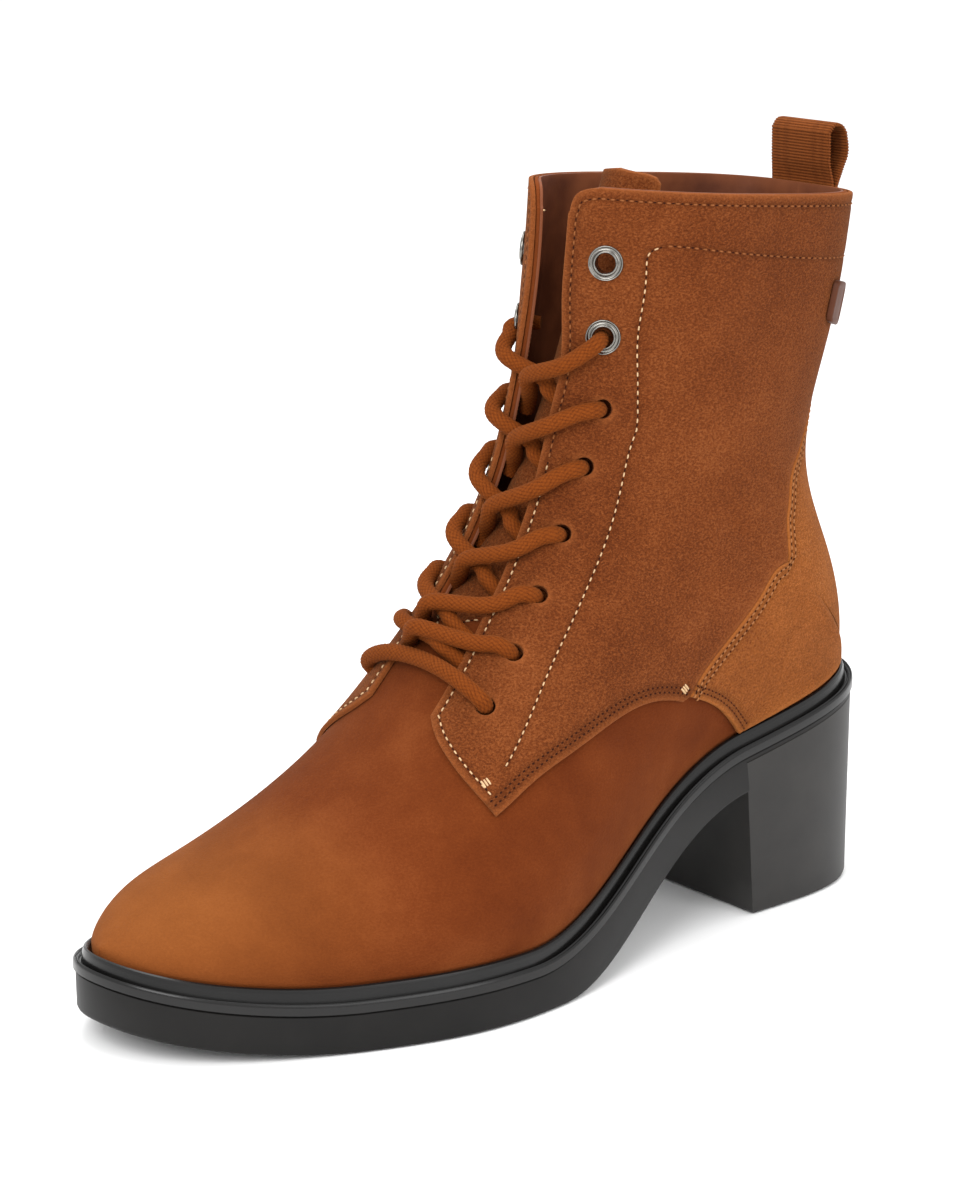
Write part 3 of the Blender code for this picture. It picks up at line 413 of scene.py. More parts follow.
def distances(points, targets):
    """Distance from each point to the nearest target point."""
    tree = kdtree.KDTree(len(targets))
    for k, target in enumerate(targets):
        tree.insert((target[0], target[1], target[2] if len(target) > 2 else 0.0), k)
    tree.balance()
    return np.array([tree.find((p[0], p[1], p[2] if len(p) > 2 else 0.0))[2] for p in points])


ROUND_RINGS = (0.08 * MM, 0.25 * MM, 0.55 * MM)
OUTLINE_STEP = 0.7 * MM
GROOVE_STEP = 0.8 * MM
GROOVE_SIDES = (0, -0.5 * MM, 0.5 * MM, -1.1 * MM, 1.1 * MM)
GROOVE_CLEAR = 0.75 * MM


def sideways(run):
    """Unit vectors to the left of a flat line's run."""
    normal = np.stack([-run[:, 1], run[:, 0]], axis=1)
    return normal / np.maximum(np.linalg.norm(normal, axis=1), 1e-12)[:, None]


def compact(triangles, count):
    """Which of count points the triangles use, and the triangles numbered by them."""
    used = np.unique(triangles)
    renumber = np.full(count, -1)
    renumber[used] = np.arange(len(used))
    return used, renumber[triangles]


def cut_fine(loops, spacing, grooves=()):
    """Cut outlines from a fine, even mesh.

    Returns flat positions, triangles, each point's distance to the outline, and its
    distance to each groove line.
    """
    outlines = [charted(loop) for loop in loops]
    rim = np.concatenate(outlines)
    rim_tree_points = np.concatenate([refined(o, OUTLINE_STEP / 3) for o in outlines])
    candidates = []
    for ring in ROUND_RINGS:
        for outline in outlines:
            normal = sideways(np.roll(outline, -1, axis=0) - np.roll(outline, 1, axis=0))
            for way in (1, -1):
                offset = outline + way * ring * normal
                offset = offset[inside(offset, outlines)]
                candidates.append(offset[distances(offset, rim_tree_points) > ring * 0.9])
    groove_lines = []
    for line in grooves:
        track = evenly(to_chart(line), GROOVE_STEP)
        groove_lines.append(track)
        normal = sideways(np.gradient(track, axis=0))
        for way in GROOVE_SIDES:
            offset = track + way * normal
            offset = offset[inside(offset, outlines)]
            candidates.append(offset[distances(offset, rim_tree_points) > GROOVE_CLEAR])
    features = np.concatenate(candidates)
    low, high = rim.min(axis=0), rim.max(axis=0)
    rows = np.arange(low[0], high[0], spacing * 0.866)
    grid = []
    for k, x in enumerate(rows):
        ys = np.arange(low[1] + (k % 2) * spacing / 2, high[1], spacing)
        grid.append(np.column_stack([np.full(len(ys), x), ys]))
    grid = np.concatenate(grid)
    grid = grid[inside(grid, outlines)]
    grid = grid[distances(grid, rim_tree_points) > spacing * 0.6 + ROUND_RINGS[-1] * 0.5]
    grid = grid[distances(grid, features) > spacing * 0.5]
    every = np.concatenate([rim, features, grid])
    edges = []
    first = 0
    for outline in outlines:
        edges.extend((first + k, first + (k + 1) % len(outline)) for k in range(len(outline)))
        first += len(outline)
    found = geometry.delaunay_2d_cdt([tuple(p) for p in every * 1000], edges, [], 0, 0.004)
    places = np.array([tuple(p) for p in found[0]]) / 1000
    triangles = np.array([face for face in found[2] if len(face) == 3])
    triangles = triangles[inside(places[triangles].mean(axis=1), outlines)]
    used, triangles = compact(triangles, len(places))
    places = places[used]
    edge = distances(places, rim_tree_points)
    sunk = [distances(places, evenly(line, GROOVE_STEP / 4)) for line in groove_lines]
    return from_chart(places), triangles, edge, sunk


def band(low, high, count):
    """Faces between two rings of count points, numbered from low and from high."""
    return [(low + k, low + (k + 1) % count, high + (k + 1) % count, high + k) for k in range(count)]


def mesh_object(name, points, faces, finish, sharp=45, replaced=(), attributes=None):
    """A mesh piece that rides on the boot."""
    mesh = bpy.data.meshes.new(name)
    mesh.from_pydata([tuple(p) for p in points], [], [tuple(int(k) for k in f) for f in faces])
    work = bmesh.new()
    work.from_mesh(mesh)
    bmesh.ops.recalc_face_normals(work, faces=work.faces)
    work.to_mesh(mesh)
    work.free()
    mesh.shade_smooth()
    mesh.set_sharp_from_angle(angle=math.radians(sharp))
    for label, values in (attributes or {}).items():
        layer = mesh.attributes.new(label, "FLOAT", "POINT")
        layer.data.foreach_set("value", np.asarray(values, np.float32))
    made = bpy.data.objects.new(name, mesh)
    made.data.materials.append(finish)
    bpy.context.scene.collection.objects.link(made)
    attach(made, BODY)
    if replaced:
        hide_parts(*replaced)
    return made


CREASE_LINES = [(evenly(to_chart(curve(line, 6)), 2.0 * MM), depth, width)
                for line, depth, width in CREASES]


def relief(s, u):
    """Height of the soft creases, shared by all layers; it fades out at their ends."""
    s, u = np.atleast_1d(s), np.atleast_1d(u)
    places = to_chart(np.column_stack([s, np.abs(u)]))
    height = np.zeros(len(places))
    for line, depth, width in CREASE_LINES:
        for start in range(0, len(places), CHUNK):
            part = places[start:start + CHUNK]
            squares = ((part[:, None] - line[None]) ** 2).sum(axis=2)
            nearest = squares.argmin(axis=1)
            end = np.minimum(nearest, len(line) - 1 - nearest) / (len(line) / 2)
            fade = np.clip(0.25 + 1.5 * end, 0, 1)
            height[start:start + CHUNK] -= depth * fade * np.exp(-squares.min(axis=1) / width**2)
    return height


def leather(name, loops, base, wall, spacing, finish, grooves=(), groove_depth=0.22 * MM,
            rounding=0.55 * MM, replaced=(), depth=None, bend=None):
    """A leather piece with rounded cut edges and sunk stitch rows, laid on the last."""
    flat, triangles, edge, sunk = cut_fine(loops, spacing, grooves)
    s, u = flat.T
    settle = relief(s, u)
    if depth is not None:
        settle = settle + depth(s)
    turn = np.clip(1 - edge / rounding, 0, 1)
    top = base + wall - rounding * (1 - np.sqrt(1 - turn**2)) + settle
    # The seam value marks the sunk stitch rows, where the suede shader paints shade.
    seam = np.zeros(len(s))
    for near in sunk:
        top = top - groove_depth * np.exp(-(near / (0.55 * MM))**2)
        seam = np.maximum(seam, np.exp(-(near / (1.0 * MM))**2))
    upper = lay(flat, top)
    under = lay(flat, base + settle)
    if bend is not None:
        upper, under = bend(upper), bend(under)
    joined = (s < 1e-6) | ((s > HEEL_ROW - 1e-6) & (np.abs(u) > 1 - 1e-6))
    keys = np.round(np.column_stack([s, np.where(joined, np.abs(u), u)]), 5)
    first = {}
    weld = np.array([first.setdefault(tuple(key), k) for k, key in enumerate(keys)])
    triangles = weld[triangles]
    solid = (triangles[:, 0] != triangles[:, 1]) & (triangles[:, 1] != triangles[:, 2]) \
        & (triangles[:, 0] != triangles[:, 2])
    used, triangles = compact(triangles[solid], len(s))
    count = len(used)
    rim = {}
    for a, b, c in triangles.tolist():
        for side in ((a, b), (b, c), (c, a)):
            rim[side] = rim.get(side, 0) + 1
    walls = [(b, a, a + count, b + count) for a, b in rim if (b, a) not in rim]
    faces = triangles.tolist() + (triangles[:, ::-1] + count).tolist() + walls
    rub = np.exp(-edge[used] / (0.9 * MM))
    return mesh_object(name, np.concatenate([upper[used], under[used]]), faces, finish,
                       replaced=replaced,
                       attributes={"edge": np.concatenate([rub, rub]),
                                   "seam": np.concatenate([seam[used], seam[used]])})


# Materials
class Shader:
    """A small helper that wires a Principled material."""

    def __init__(self, name, roughness, metallic=0.0):
        self.material = bpy.data.materials.new(name)
        self.material.use_nodes = True
        self.tree = self.material.node_tree
        self.principled = self.tree.nodes["Principled BSDF"]
        self.principled.inputs["Roughness"].default_value = roughness
        self.principled.inputs["Metallic"].default_value = metallic

    def node(self, kind, **settings):
        made = self.tree.nodes.new(kind)
        for key, value in settings.items():
            setattr(made, key, value)
        return made

    def link(self, start, end):
        self.tree.links.new(start, end)

    def noise(self, scale, detail=4.0, roughness=0.6, stretch=(1, 1, 1), turn=(0, 0, 0), distortion=0.0):
        """A noise of object coordinates, scale in features a metre."""
        place = self.node("ShaderNodeTexCoord")
        mapping = self.node("ShaderNodeMapping")
        mapping.inputs["Scale"].default_value = stretch
        mapping.inputs["Rotation"].default_value = turn
        texture = self.node("ShaderNodeTexNoise")
        texture.inputs["Scale"].default_value = scale
        texture.inputs["Detail"].default_value = detail
        texture.inputs["Roughness"].default_value = roughness
        texture.inputs["Distortion"].default_value = distortion
        self.link(place.outputs["Object"], mapping.inputs["Vector"])
        self.link(mapping.outputs["Vector"], texture.inputs["Vector"])
        return texture.outputs["Fac"]

    def spread(self, value, low, high, to_low=0.0, to_high=1.0):
        """Stretch a value range to another, clamped."""
        ramp = self.node("ShaderNodeMapRange")
        ramp.inputs["From Min"].default_value = low
        ramp.inputs["From Max"].default_value = high
        ramp.inputs["To Min"].default_value = to_low
        ramp.inputs["To Max"].default_value = to_high
        self.link(value, ramp.inputs["Value"])
        return ramp.outputs["Result"]

    def mix(self, factor, first, second):
        """Blend two colours, each a colour or a socket."""
        made = self.node("ShaderNodeMix", data_type="RGBA")
        self.link(factor, made.inputs["Factor"])
        for socket, value in ((made.inputs[6], first), (made.inputs[7], second)):
            if isinstance(value, tuple):
                socket.default_value = (*value, 1)
            else:
                self.link(value, socket)
        return made.outputs[2]

    def math(self, operation, first, second):
        """A math node on sockets or numbers."""
        made = self.node("ShaderNodeMath", operation=operation)
        for socket, value in zip(made.inputs, (first, second)):
            if isinstance(value, (int, float)):
                socket.default_value = value
            else:
                self.link(value, socket)
        return made.outputs[0]

    def attribute(self, name):
        """A point value of the mesh."""
        return self.node("ShaderNodeAttribute", attribute_name=name).outputs["Fac"]

    def bump(self, height, strength, distance, below=None):
        """A bump whose height is given in shares of the distance."""
        made = self.node("ShaderNodeBump")
        made.inputs["Strength"].default_value = strength
        made.inputs["Distance"].default_value = distance
        self.link(height, made.inputs["Height"])
        if below is not None:
            self.link(below, made.inputs["Normal"])
        return made.outputs["Normal"]

    def finish(self, colour, normal=None):
        """Set the colour and the normal."""
        if isinstance(colour, tuple):
            self.principled.inputs["Base Color"].default_value = (*colour, 1)
        else:
            self.link(colour, self.principled.inputs["Base Color"])
        if normal is not None:
            self.link(normal, self.principled.inputs["Normal"])
        return self.material


def suede_material(name, dark, middle, light, nap=1.0, patches=1.0, sheen=0.35, painted_toe_light=None):
    """Napped leather: fine flecks of fibre, brushed patches, rubbed edges and painted shade by the stitch
    rows.

    painted_toe_light is a lighter colour painted towards the toe and its top, as painted light from above.
    """
    shader = Shader(name, 0.92)
    broad = shader.spread(shader.noise(24, 3, 0.55, distortion=0.4), 0.36, 0.66)
    medium = shader.spread(shader.noise(90, 3, 0.6), 0.34, 0.68)
    fleck = shader.spread(shader.noise(1350, 3, 0.65, (1.0, 1.0, 1.5), (0.5, 0.6, 0.3)), 0.36, 0.66)
    fibre = shader.spread(shader.noise(3000, 2, 0.6, (1.0, 1.0, 1.8), (0.3, 0.7, 0.2)), 0.34, 0.68)
    tone = shader.math("MULTIPLY", broad, 0.42 * patches)
    tone = shader.math("ADD", tone, shader.math("MULTIPLY", medium, 0.20 * patches))
    tone = shader.math("ADD", tone, shader.math("MULTIPLY", fleck, 0.40 * nap))
    tone = shader.math("ADD", tone, shader.math("MULTIPLY", fibre, 0.22 * nap))
    total = 0.62 * patches + 0.62 * nap
    tone = shader.spread(tone, 0.12 * total, 0.88 * total)
    low = shader.mix(shader.spread(tone, 0.0, 0.5), dark, middle)
    colour = shader.mix(shader.spread(tone, 0.5, 1.0), low, light)
    if painted_toe_light is not None:
        # Painted light: lighter towards the toe and higher up, where the light from above falls.
        place = shader.node("ShaderNodeSeparateXYZ")
        shader.link(shader.node("ShaderNodeTexCoord").outputs["Object"], place.inputs[0])
        ahead = shader.spread(place.outputs["Y"], -0.215, -0.150, 1.0, 0.0)
        high = shader.spread(place.outputs["Z"], 0.018, 0.050, 0.25, 1.0)
        painted_light_share = shader.math("MULTIPLY", shader.math("MULTIPLY", ahead, high), 0.95)
        painted_light_share = shader.math("MULTIPLY", painted_light_share, shader.spread(tone, 0.0, 1.0, 0.8, 1.1))
        colour = shader.mix(painted_light_share, colour, painted_toe_light)
    rubbed = shader.math("MULTIPLY", shader.attribute("edge"), 0.55)
    colour = shader.mix(rubbed, colour, tuple(min(1.0, 1.25 * c) for c in light))
    # Painted shade: darker along the sunk stitch rows, which the seam value marks.
    shade = shader.math("MULTIPLY", shader.attribute("seam"), 0.35)
    colour = shader.mix(shade, colour, tuple(0.55 * c for c in dark))
    coarse = shader.bump(fleck, 0.60 * nap, 0.28 * MM)
    normal = shader.bump(fibre, 0.40 * nap, 0.12 * MM, coarse)
    shader.principled.inputs["Sheen Weight"].default_value = sheen
    shader.principled.inputs["Sheen Roughness"].default_value = 0.45
    shader.principled.inputs["Sheen Tint"].default_value = (1.0, 0.55, 0.26, 1)
    shader.principled.inputs["Specular IOR Level"].default_value = 0.06
    return shader.finish(colour, normal)


def smooth_leather(name, dark, light, roughness):
    """Lining leather with a low, creased grain."""
    shader = Shader(name, roughness)
    broad = shader.spread(shader.noise(45, 4, 0.6), 0.35, 0.66)
    grain = shader.noise(1500, 3, 0.6)
    colour = shader.mix(broad, dark, light)
    colour = shader.mix(shader.math("MULTIPLY", shader.attribute("edge"), 0.5), colour,
                        tuple(min(1.0, 1.5 * c) for c in light))
    shader.principled.inputs["Specular IOR Level"].default_value = 0.16
    return shader.finish(colour, shader.bump(grain, 0.35, 0.12 * MM))


def rubber_material(name, colour, roughness, gloss):
    """Black moulded rubber with a faint bloom."""
    shader = Shader(name, roughness)
    cloud = shader.spread(shader.noise(70, 4, 0.6), 0.35, 0.7)
    tinted = shader.mix(cloud, colour, tuple(1.5 * c for c in colour))
    grain = shader.noise(2600, 2, 0.5)
    shader.principled.inputs["Specular IOR Level"].default_value = gloss
    return shader.finish(tinted, shader.bump(grain, 0.12, 0.05 * MM))


def cord_material(name, dark, light, sheen=0.3):
    """Braided or woven yarn: the relief is in the mesh, the shader adds fibres and painted shade in the low
    parts of the relief.
    """
    shader = Shader(name, 0.85)
    relief_and_shade = shader.attribute("relief_and_shade")
    fibre = shader.spread(shader.noise(2600, 2, 0.6, (1, 1, 1)), 0.36, 0.66)
    # Painted shade: darker where the relief is low, in the hollows between strands and ribs.
    tone = shader.math("ADD", shader.math("MULTIPLY", relief_and_shade, 0.7), shader.math("MULTIPLY", fibre, 0.3))
    colour = shader.mix(tone, dark, light)
    shader.principled.inputs["Sheen Weight"].default_value = sheen
    shader.principled.inputs["Sheen Roughness"].default_value = 0.5
    shader.principled.inputs["Sheen Tint"].default_value = (1.0, 0.55, 0.22, 1)
    shader.principled.inputs["Specular IOR Level"].default_value = 0.06
    return shader.finish(colour, shader.bump(fibre, 0.3, 0.08 * MM))


def metal_material(name, colour, roughness):
    """Polished nickel with faint wear."""
    shader = Shader(name, roughness, 1.0)
    wear = shader.spread(shader.noise(400, 2, 0.5), 0.3, 0.7, roughness * 0.9, roughness * 1.2)
    shader.link(wear, shader.principled.inputs["Roughness"])
    return shader.finish(colour)


def plain_material(name, colour, roughness):
    """Thread, pinholes and other tiny pieces."""
    shader = Shader(name, roughness)
    shader.principled.inputs["Specular IOR Level"].default_value = 0.08
    cloud = shader.spread(shader.noise(900, 2, 0.5), 0.3, 0.7)
    return shader.finish(shader.mix(cloud, tuple(0.8 * c for c in colour), colour))


QUARTER_SUEDE = suede_material("quarter_suede", (0.066, 0.014, 0.0032), (0.140, 0.034, 0.0076),
                               (0.238, 0.070, 0.019), nap=1.2, patches=0.45, sheen=0.10)
COUNTER_SUEDE = suede_material("counter_suede", (0.105, 0.025, 0.005), (0.220, 0.060, 0.011),
                               (0.36, 0.120, 0.028), nap=1.2, patches=0.5, sheen=0.12)
# The vamp's toe colour is painted light from above.
VAMP_NUBUCK = suede_material("vamp_nubuck", (0.090, 0.0175, 0.0034), (0.121, 0.026, 0.0052),
                             (0.162, 0.040, 0.0094), nap=0.5, patches=0.9, sheen=0.06,
                             painted_toe_light=(0.290, 0.098, 0.022))
LINING = smooth_leather("lining", (0.075, 0.020, 0.008), (0.160, 0.048, 0.018), 0.5)
SOCK = smooth_leather("sock", (0.05, 0.018, 0.008), (0.09, 0.033, 0.014), 0.6)
SOLE_RUBBER = rubber_material("sole_rubber", (0.0045, 0.0040, 0.0036), 0.48, 0.20)
# The heel takes the sole's rubber painted lighter, as painted light from the side lamp that falls on the
# heel.
HEEL_RUBBER_PAINTED_LIGHT = rubber_material("heel_rubber_painted_light", (0.0120, 0.0108, 0.0096), 0.50, 0.30)
WELT_RUBBER = rubber_material("welt_rubber", (0.0035, 0.0032, 0.0030), 0.26, 0.36)
LACE_CORD = cord_material("lace_cord", (0.052, 0.009, 0.0016), (0.200, 0.047, 0.006), sheen=0.05)
WEBBING_CLOTH = cord_material("webbing_cloth", (0.060, 0.013, 0.003), (0.26, 0.072, 0.016), sheen=0.08)
NICKEL = metal_material("nickel_finish", (0.20, 0.19, 0.172), 0.22)
LIGHT_THREAD = plain_material("light_thread", (0.60, 0.40, 0.22), 0.7)
BROWN_THREAD = plain_material("brown_thread", (0.25, 0.085, 0.026), 0.7)
TONAL_THREAD = plain_material("tonal_thread", (0.150, 0.040, 0.010), 0.8)
SEAM_THREAD = plain_material("seam_thread", (0.34, 0.14, 0.050), 0.7)
# Painted shade: the needle holes are dark patches that stand in for the shade inside them.
PINHOLE_SHADE = plain_material("pinhole_shade", (0.025, 0.007, 0.003), 0.9)
TAB_FINISH = smooth_leather("tab_finish", (0.055, 0.016, 0.006), (0.095, 0.028, 0.011), 0.5)


# Leather pieces
def punch(place, diameter, count=20):
    """A round hole of the leather as a loop in the flat pattern."""
    tangents = stretches(place)
    along = tangents[0] / np.linalg.norm(tangents[0])
    across = tangents[1] - along * np.dot(tangents[1], along)
    across /= np.linalg.norm(across)
    angles = np.arange(count) * 2 * math.pi / count
    wanted = diameter / 2 * (np.outer(np.cos(angles), along) + np.outer(np.sin(angles), across))
    return np.array(place) + wanted @ np.linalg.pinv(tangents)


def hole_loops(side):
    """All lace holes of one facing."""
    barrel = EYELET_BORE + 1.0 * MM
    sizes = [barrel if n + 1 in METAL_HOLES else HOLE_DIAMETER for n in range(len(HOLES))]
    return [punch((s, side * u), size) for (s, u), size in zip(HOLES, sizes)]


def shell_outline(back_in):
    """Outline of vamp and lining: the whole last but for the throat."""
    edge = curve([p for p in FACING_EDGE if p[0] > THROAT_ROW] + TOP_CORNER[1:-1], 6)
    edge = edge + (0, back_in)
    seam = np.array([(THROAT_ROW + 0.12, edge[0][1] * 0.96), (THROAT_ROW, edge[0][1] * 0.55)])
    outer = np.concatenate([seam[::-1], edge, TOP_CORNER[-1:]])
    throat = np.concatenate([outer[::-1], [(THROAT_ROW, 0)], outer * (1, -1)])
    around = np.array([(TOP_ROW, -1), (HEEL_ROW, -1), (0, -1), (0, 1), (HEEL_ROW, 1), (TOP_ROW, 1)])
    return np.concatenate([around, throat])


def throat_row_line():
    """The seam between vamp and tongue, an arc from one facing to the other."""
    half = curve(THROAT_SEAM, 6)
    return np.concatenate([half, (half * (1, -1))[::-1]])


THROAT_ROW_LINE = throat_row_line()


def shell_pieces():
    """The vamp leather outside and the lining inside it."""
    holes = [*hole_loops(1), *hole_loops(-1)]
    thin_edge = 0.3 * MM
    leather("vamp", [shell_outline(0.0035), *holes], -VAMP_WALL, VAMP_WALL, 1.5 * MM, VAMP_NUBUCK,
            [THROAT_ROW_LINE], rounding=thin_edge, replaced=("upper",))
    leather("lining", [shell_outline(0.0), *holes], -UPPER_WALL,
            UPPER_WALL - VAMP_WALL - 0.02 * MM, 2.8 * MM, LINING, rounding=thin_edge)


def quarter_outline():
    """Eyestay, side and top band in one piece, up to the back line."""
    back = 1 - GAP / 2 / np.linalg.norm(stretches((TOP_ROW - 0.5, 0.98))[1])
    seam = curve(SEAM, 6)
    seam = seam[seam[:, 1] < back - 0.005]
    return np.concatenate([
        curve(QUARTER_POINT, 6)[:-1],
        curve(FACING_EDGE, 6),
        curve(TOP_CORNER, 4)[1:],
        [(TOP_ROW, back), (SEAM[-1][0], back)],
        seam[::-1],
        curve(QUARTER_HEM, 6)[-2:0:-1],
    ])


def row_beside(line, distance):
    """A stitch row at a real distance beside a smooth line."""
    return shifted(curve(line, 6), distance)


def edge_row(distance):
    """The row along the facing's edge, round the top corner and along the collar."""
    corner = [(s - 0.02 * (s > 13.9), u) for s, u in curve(TOP_CORNER, 6)]
    collar = [(TOP_ROW - 0.02, u) for u in np.linspace(0.16, 0.995, 30)]
    line = np.concatenate([curve(QUARTER_POINT, 6)[2:-1], curve(FACING_EDGE, 6)[:-1], corner, collar])
    row = from_chart(evenly(to_chart(line), 1.5 * MM))
    return shifted(row, distance)


EDGE_ROW = edge_row(2.5 * MM)
HEM_ROWS = [row_beside(QUARTER_HEM, distance) for distance in (-2.2 * MM, -3.7 * MM)]
SEAM_ROWS = [row_beside(SEAM, distance) for distance in (1.2 * MM, 2.9 * MM)]
FRONT_ROWS = [row_beside(COUNTER_FRONT, distance) for distance in (-2.0 * MM, -3.5 * MM)]


def quarter_pieces():
    """The two facings, laid over the vamp."""
    outline = quarter_outline()
    rows = [EDGE_ROW, curve(STAY_ROW, 6), *HEM_ROWS]
    for word, side in (("lateral", 1), ("medial", -1)):
        loop = outline if side > 0 else mirrored(outline)
        grooves = rows if side > 0 else [mirrored(row) for row in rows]
        leather(f"quarter_{word}_suede", [loop, *hole_loops(side)], GAP, QUARTER_WALL, 1.25 * MM,
                QUARTER_SUEDE, grooves, replaced=(f"quarter_{word}",))


def counter_piece():
    """The heel counter, one piece round the back."""
    seam = curve(SEAM, 6)
    front = curve(COUNTER_FRONT, 6)
    foot = curve(COUNTER_FOOT, 3)
    outline = np.concatenate([front[:-1], foot, seam[::-1][:-1]])
    rows = [*SEAM_ROWS, *FRONT_ROWS]
    leather("counter_suede_piece", [outline, mirrored(outline)], GAP, COUNTER_WALL, 1.35 * MM,
            COUNTER_SUEDE, rows + [mirrored(row) for row in rows],
            replaced=("counter",))


def tongue_depth(s):
    """How deep the tongue's face lies under the last's surface."""
    rows, depths = zip(*TONGUE_DEPTH)
    return -np.interp(s, rows, depths)


def tongue_outline():
    """The tongue with its slightly raised top edge."""
    rise = TONGUE_RISE / (COLLAR_HEIGHT * (STATIONS[-1].ridge_z - STATIONS[-2].ridge_z))
    top = TOP_ROW + rise
    edge = curve(TONGUE_EDGE, 6)
    corner = [(top + drop, share) for drop, share in TONGUE_CORNERS]
    half = np.concatenate([[TONGUE_FOOT], edge, corner])
    return np.concatenate([half, [(top, 0)], (half * (1, -1))[::-1]])


def tongue_lean(points):
    """The tongue's top leans back into the shaft."""
    climb = (points[:, 2] - TONGUE_LEAN_BASE) / (COLLAR_HEIGHT - TONGUE_LEAN_BASE)
    return points + np.outer(TONGUE_LEAN * climb.clip(0)**1.5, (0, 1, 0))


def tongue_piece():
    """The tongue under the throat."""
    leather("tongue_suede", [tongue_outline()], -TONGUE_WALL, TONGUE_WALL, 1.3 * MM, QUARTER_SUEDE,
            replaced=("tongue",), depth=tongue_depth, bend=tongue_lean)


# Stitches
# Each ring of a stitch: its place along it, its lift and its width in thread radii
STITCH_RINGS = [(-0.5, -1.3, 0.6), (-0.36, 0.15, 1.0), (0, 0.55, 1.1), (0.36, 0.15, 1.0), (0.5, -1.3, 0.6)]
STITCH_SIDES = 6
LIGHT_SHARE = 0.52
TACK_LENGTH = 3.2 * MM
TACK_STEP = 0.8 * MM
PINHOLE_SIDES = 8
PINHOLE_LIFT = 0.05 * MM


def stitch_row(line, height, pitch, share, radius, side=1):
    """Points and faces of the stitches of a row, and the places of its pinholes."""
    line = np.asarray(line, float)
    if side < 0:
        line = line * (1, -1)
    path = lay(line, height(line[:, 0], line[:, 1]))
    normals = last_normal(np.minimum(line[:, 0], TOP_ROW), line[:, 1])
    runs = np.linalg.norm(np.diff(path, axis=0), axis=1)
    reach = np.concatenate([[0], np.cumsum(runs)])
    count = int(reach[-1] / pitch)

    def read(values, at):
        return np.stack([np.interp(at, reach, values[:, k]) for k in range(3)], axis=-1)

    points, faces, holes = [], [], []
    rings = len(STITCH_RINGS)
    places, lifts, widths = np.transpose(STITCH_RINGS)
    angles = np.arange(STITCH_SIDES) * 2 * math.pi / STITCH_SIDES
    for n in range(count):
        middle = (n + 0.5) * pitch
        centre = read(path, middle + pitch * share * places)
        normal = read(normals, np.full(rings, middle))
        normal /= np.linalg.norm(normal, axis=1)[:, None]
        along = centre[-1] - centre[0]
        along /= np.linalg.norm(along)
        across = np.cross(along, normal[0])
        centre = centre + normal * (lifts * radius)[:, None]
        start = len(points)
        spokes = np.outer(np.cos(angles), across) + np.outer(np.sin(angles), normal[0])
        for k in range(rings):
            points.extend(centre[k] + radius * widths[k] * spokes)
        for k in range(rings - 1):
            faces.extend(band(start + STITCH_SIDES * k, start + STITCH_SIDES * (k + 1), STITCH_SIDES))
        for end in (start, start + STITCH_SIDES * (rings - 1)):
            faces.append(tuple(range(end, end + STITCH_SIDES)))
        holes.append((read(path, np.array([middle + pitch / 2]))[0], normal[0], along))
    return points, faces, holes


class Sewing:
    """Collects stitches and pinholes of one thread."""

    def __init__(self):
        self.points = []
        self.faces = []
        self.holes = []

    def sew(self, line, height, pitch=2.5 * MM, share=0.5, radius=0.22 * MM):
        """Sew a row on both sides of the boot; share is a stitch's part of the pitch."""
        for side in (1, -1):
            points, faces, holes = stitch_row(line, height, pitch, share, radius, side)
            start = len(self.points)
            self.points.extend(points)
            self.faces.extend(tuple(k + start for k in face) for face in faces)
            self.holes.extend(holes)


def pinhole_mesh(holes, long, wide):
    """Small dimples at the needle holes, dark as painted shade in the holes."""
    points, faces = [], []
    angles = np.arange(PINHOLE_SIDES) * 2 * math.pi / PINHOLE_SIDES
    for centre, normal, along in holes:
        across = np.cross(normal, along)
        start = len(points)
        inner = start + PINHOLE_SIDES
        spokes = np.outer(long * np.cos(angles), along) + np.outer(wide * np.sin(angles), across)
        for level, lift in ((1.0, 0.0), (0.55, PINHOLE_LIFT)):
            points.extend(centre + level * spokes + normal * lift)
        faces.extend(band(start, inner, PINHOLE_SIDES))
        faces.append(tuple(range(inner, inner + PINHOLE_SIDES)))
        faces.append(tuple(range(inner - 1, start - 1, -1)))
    return points, faces


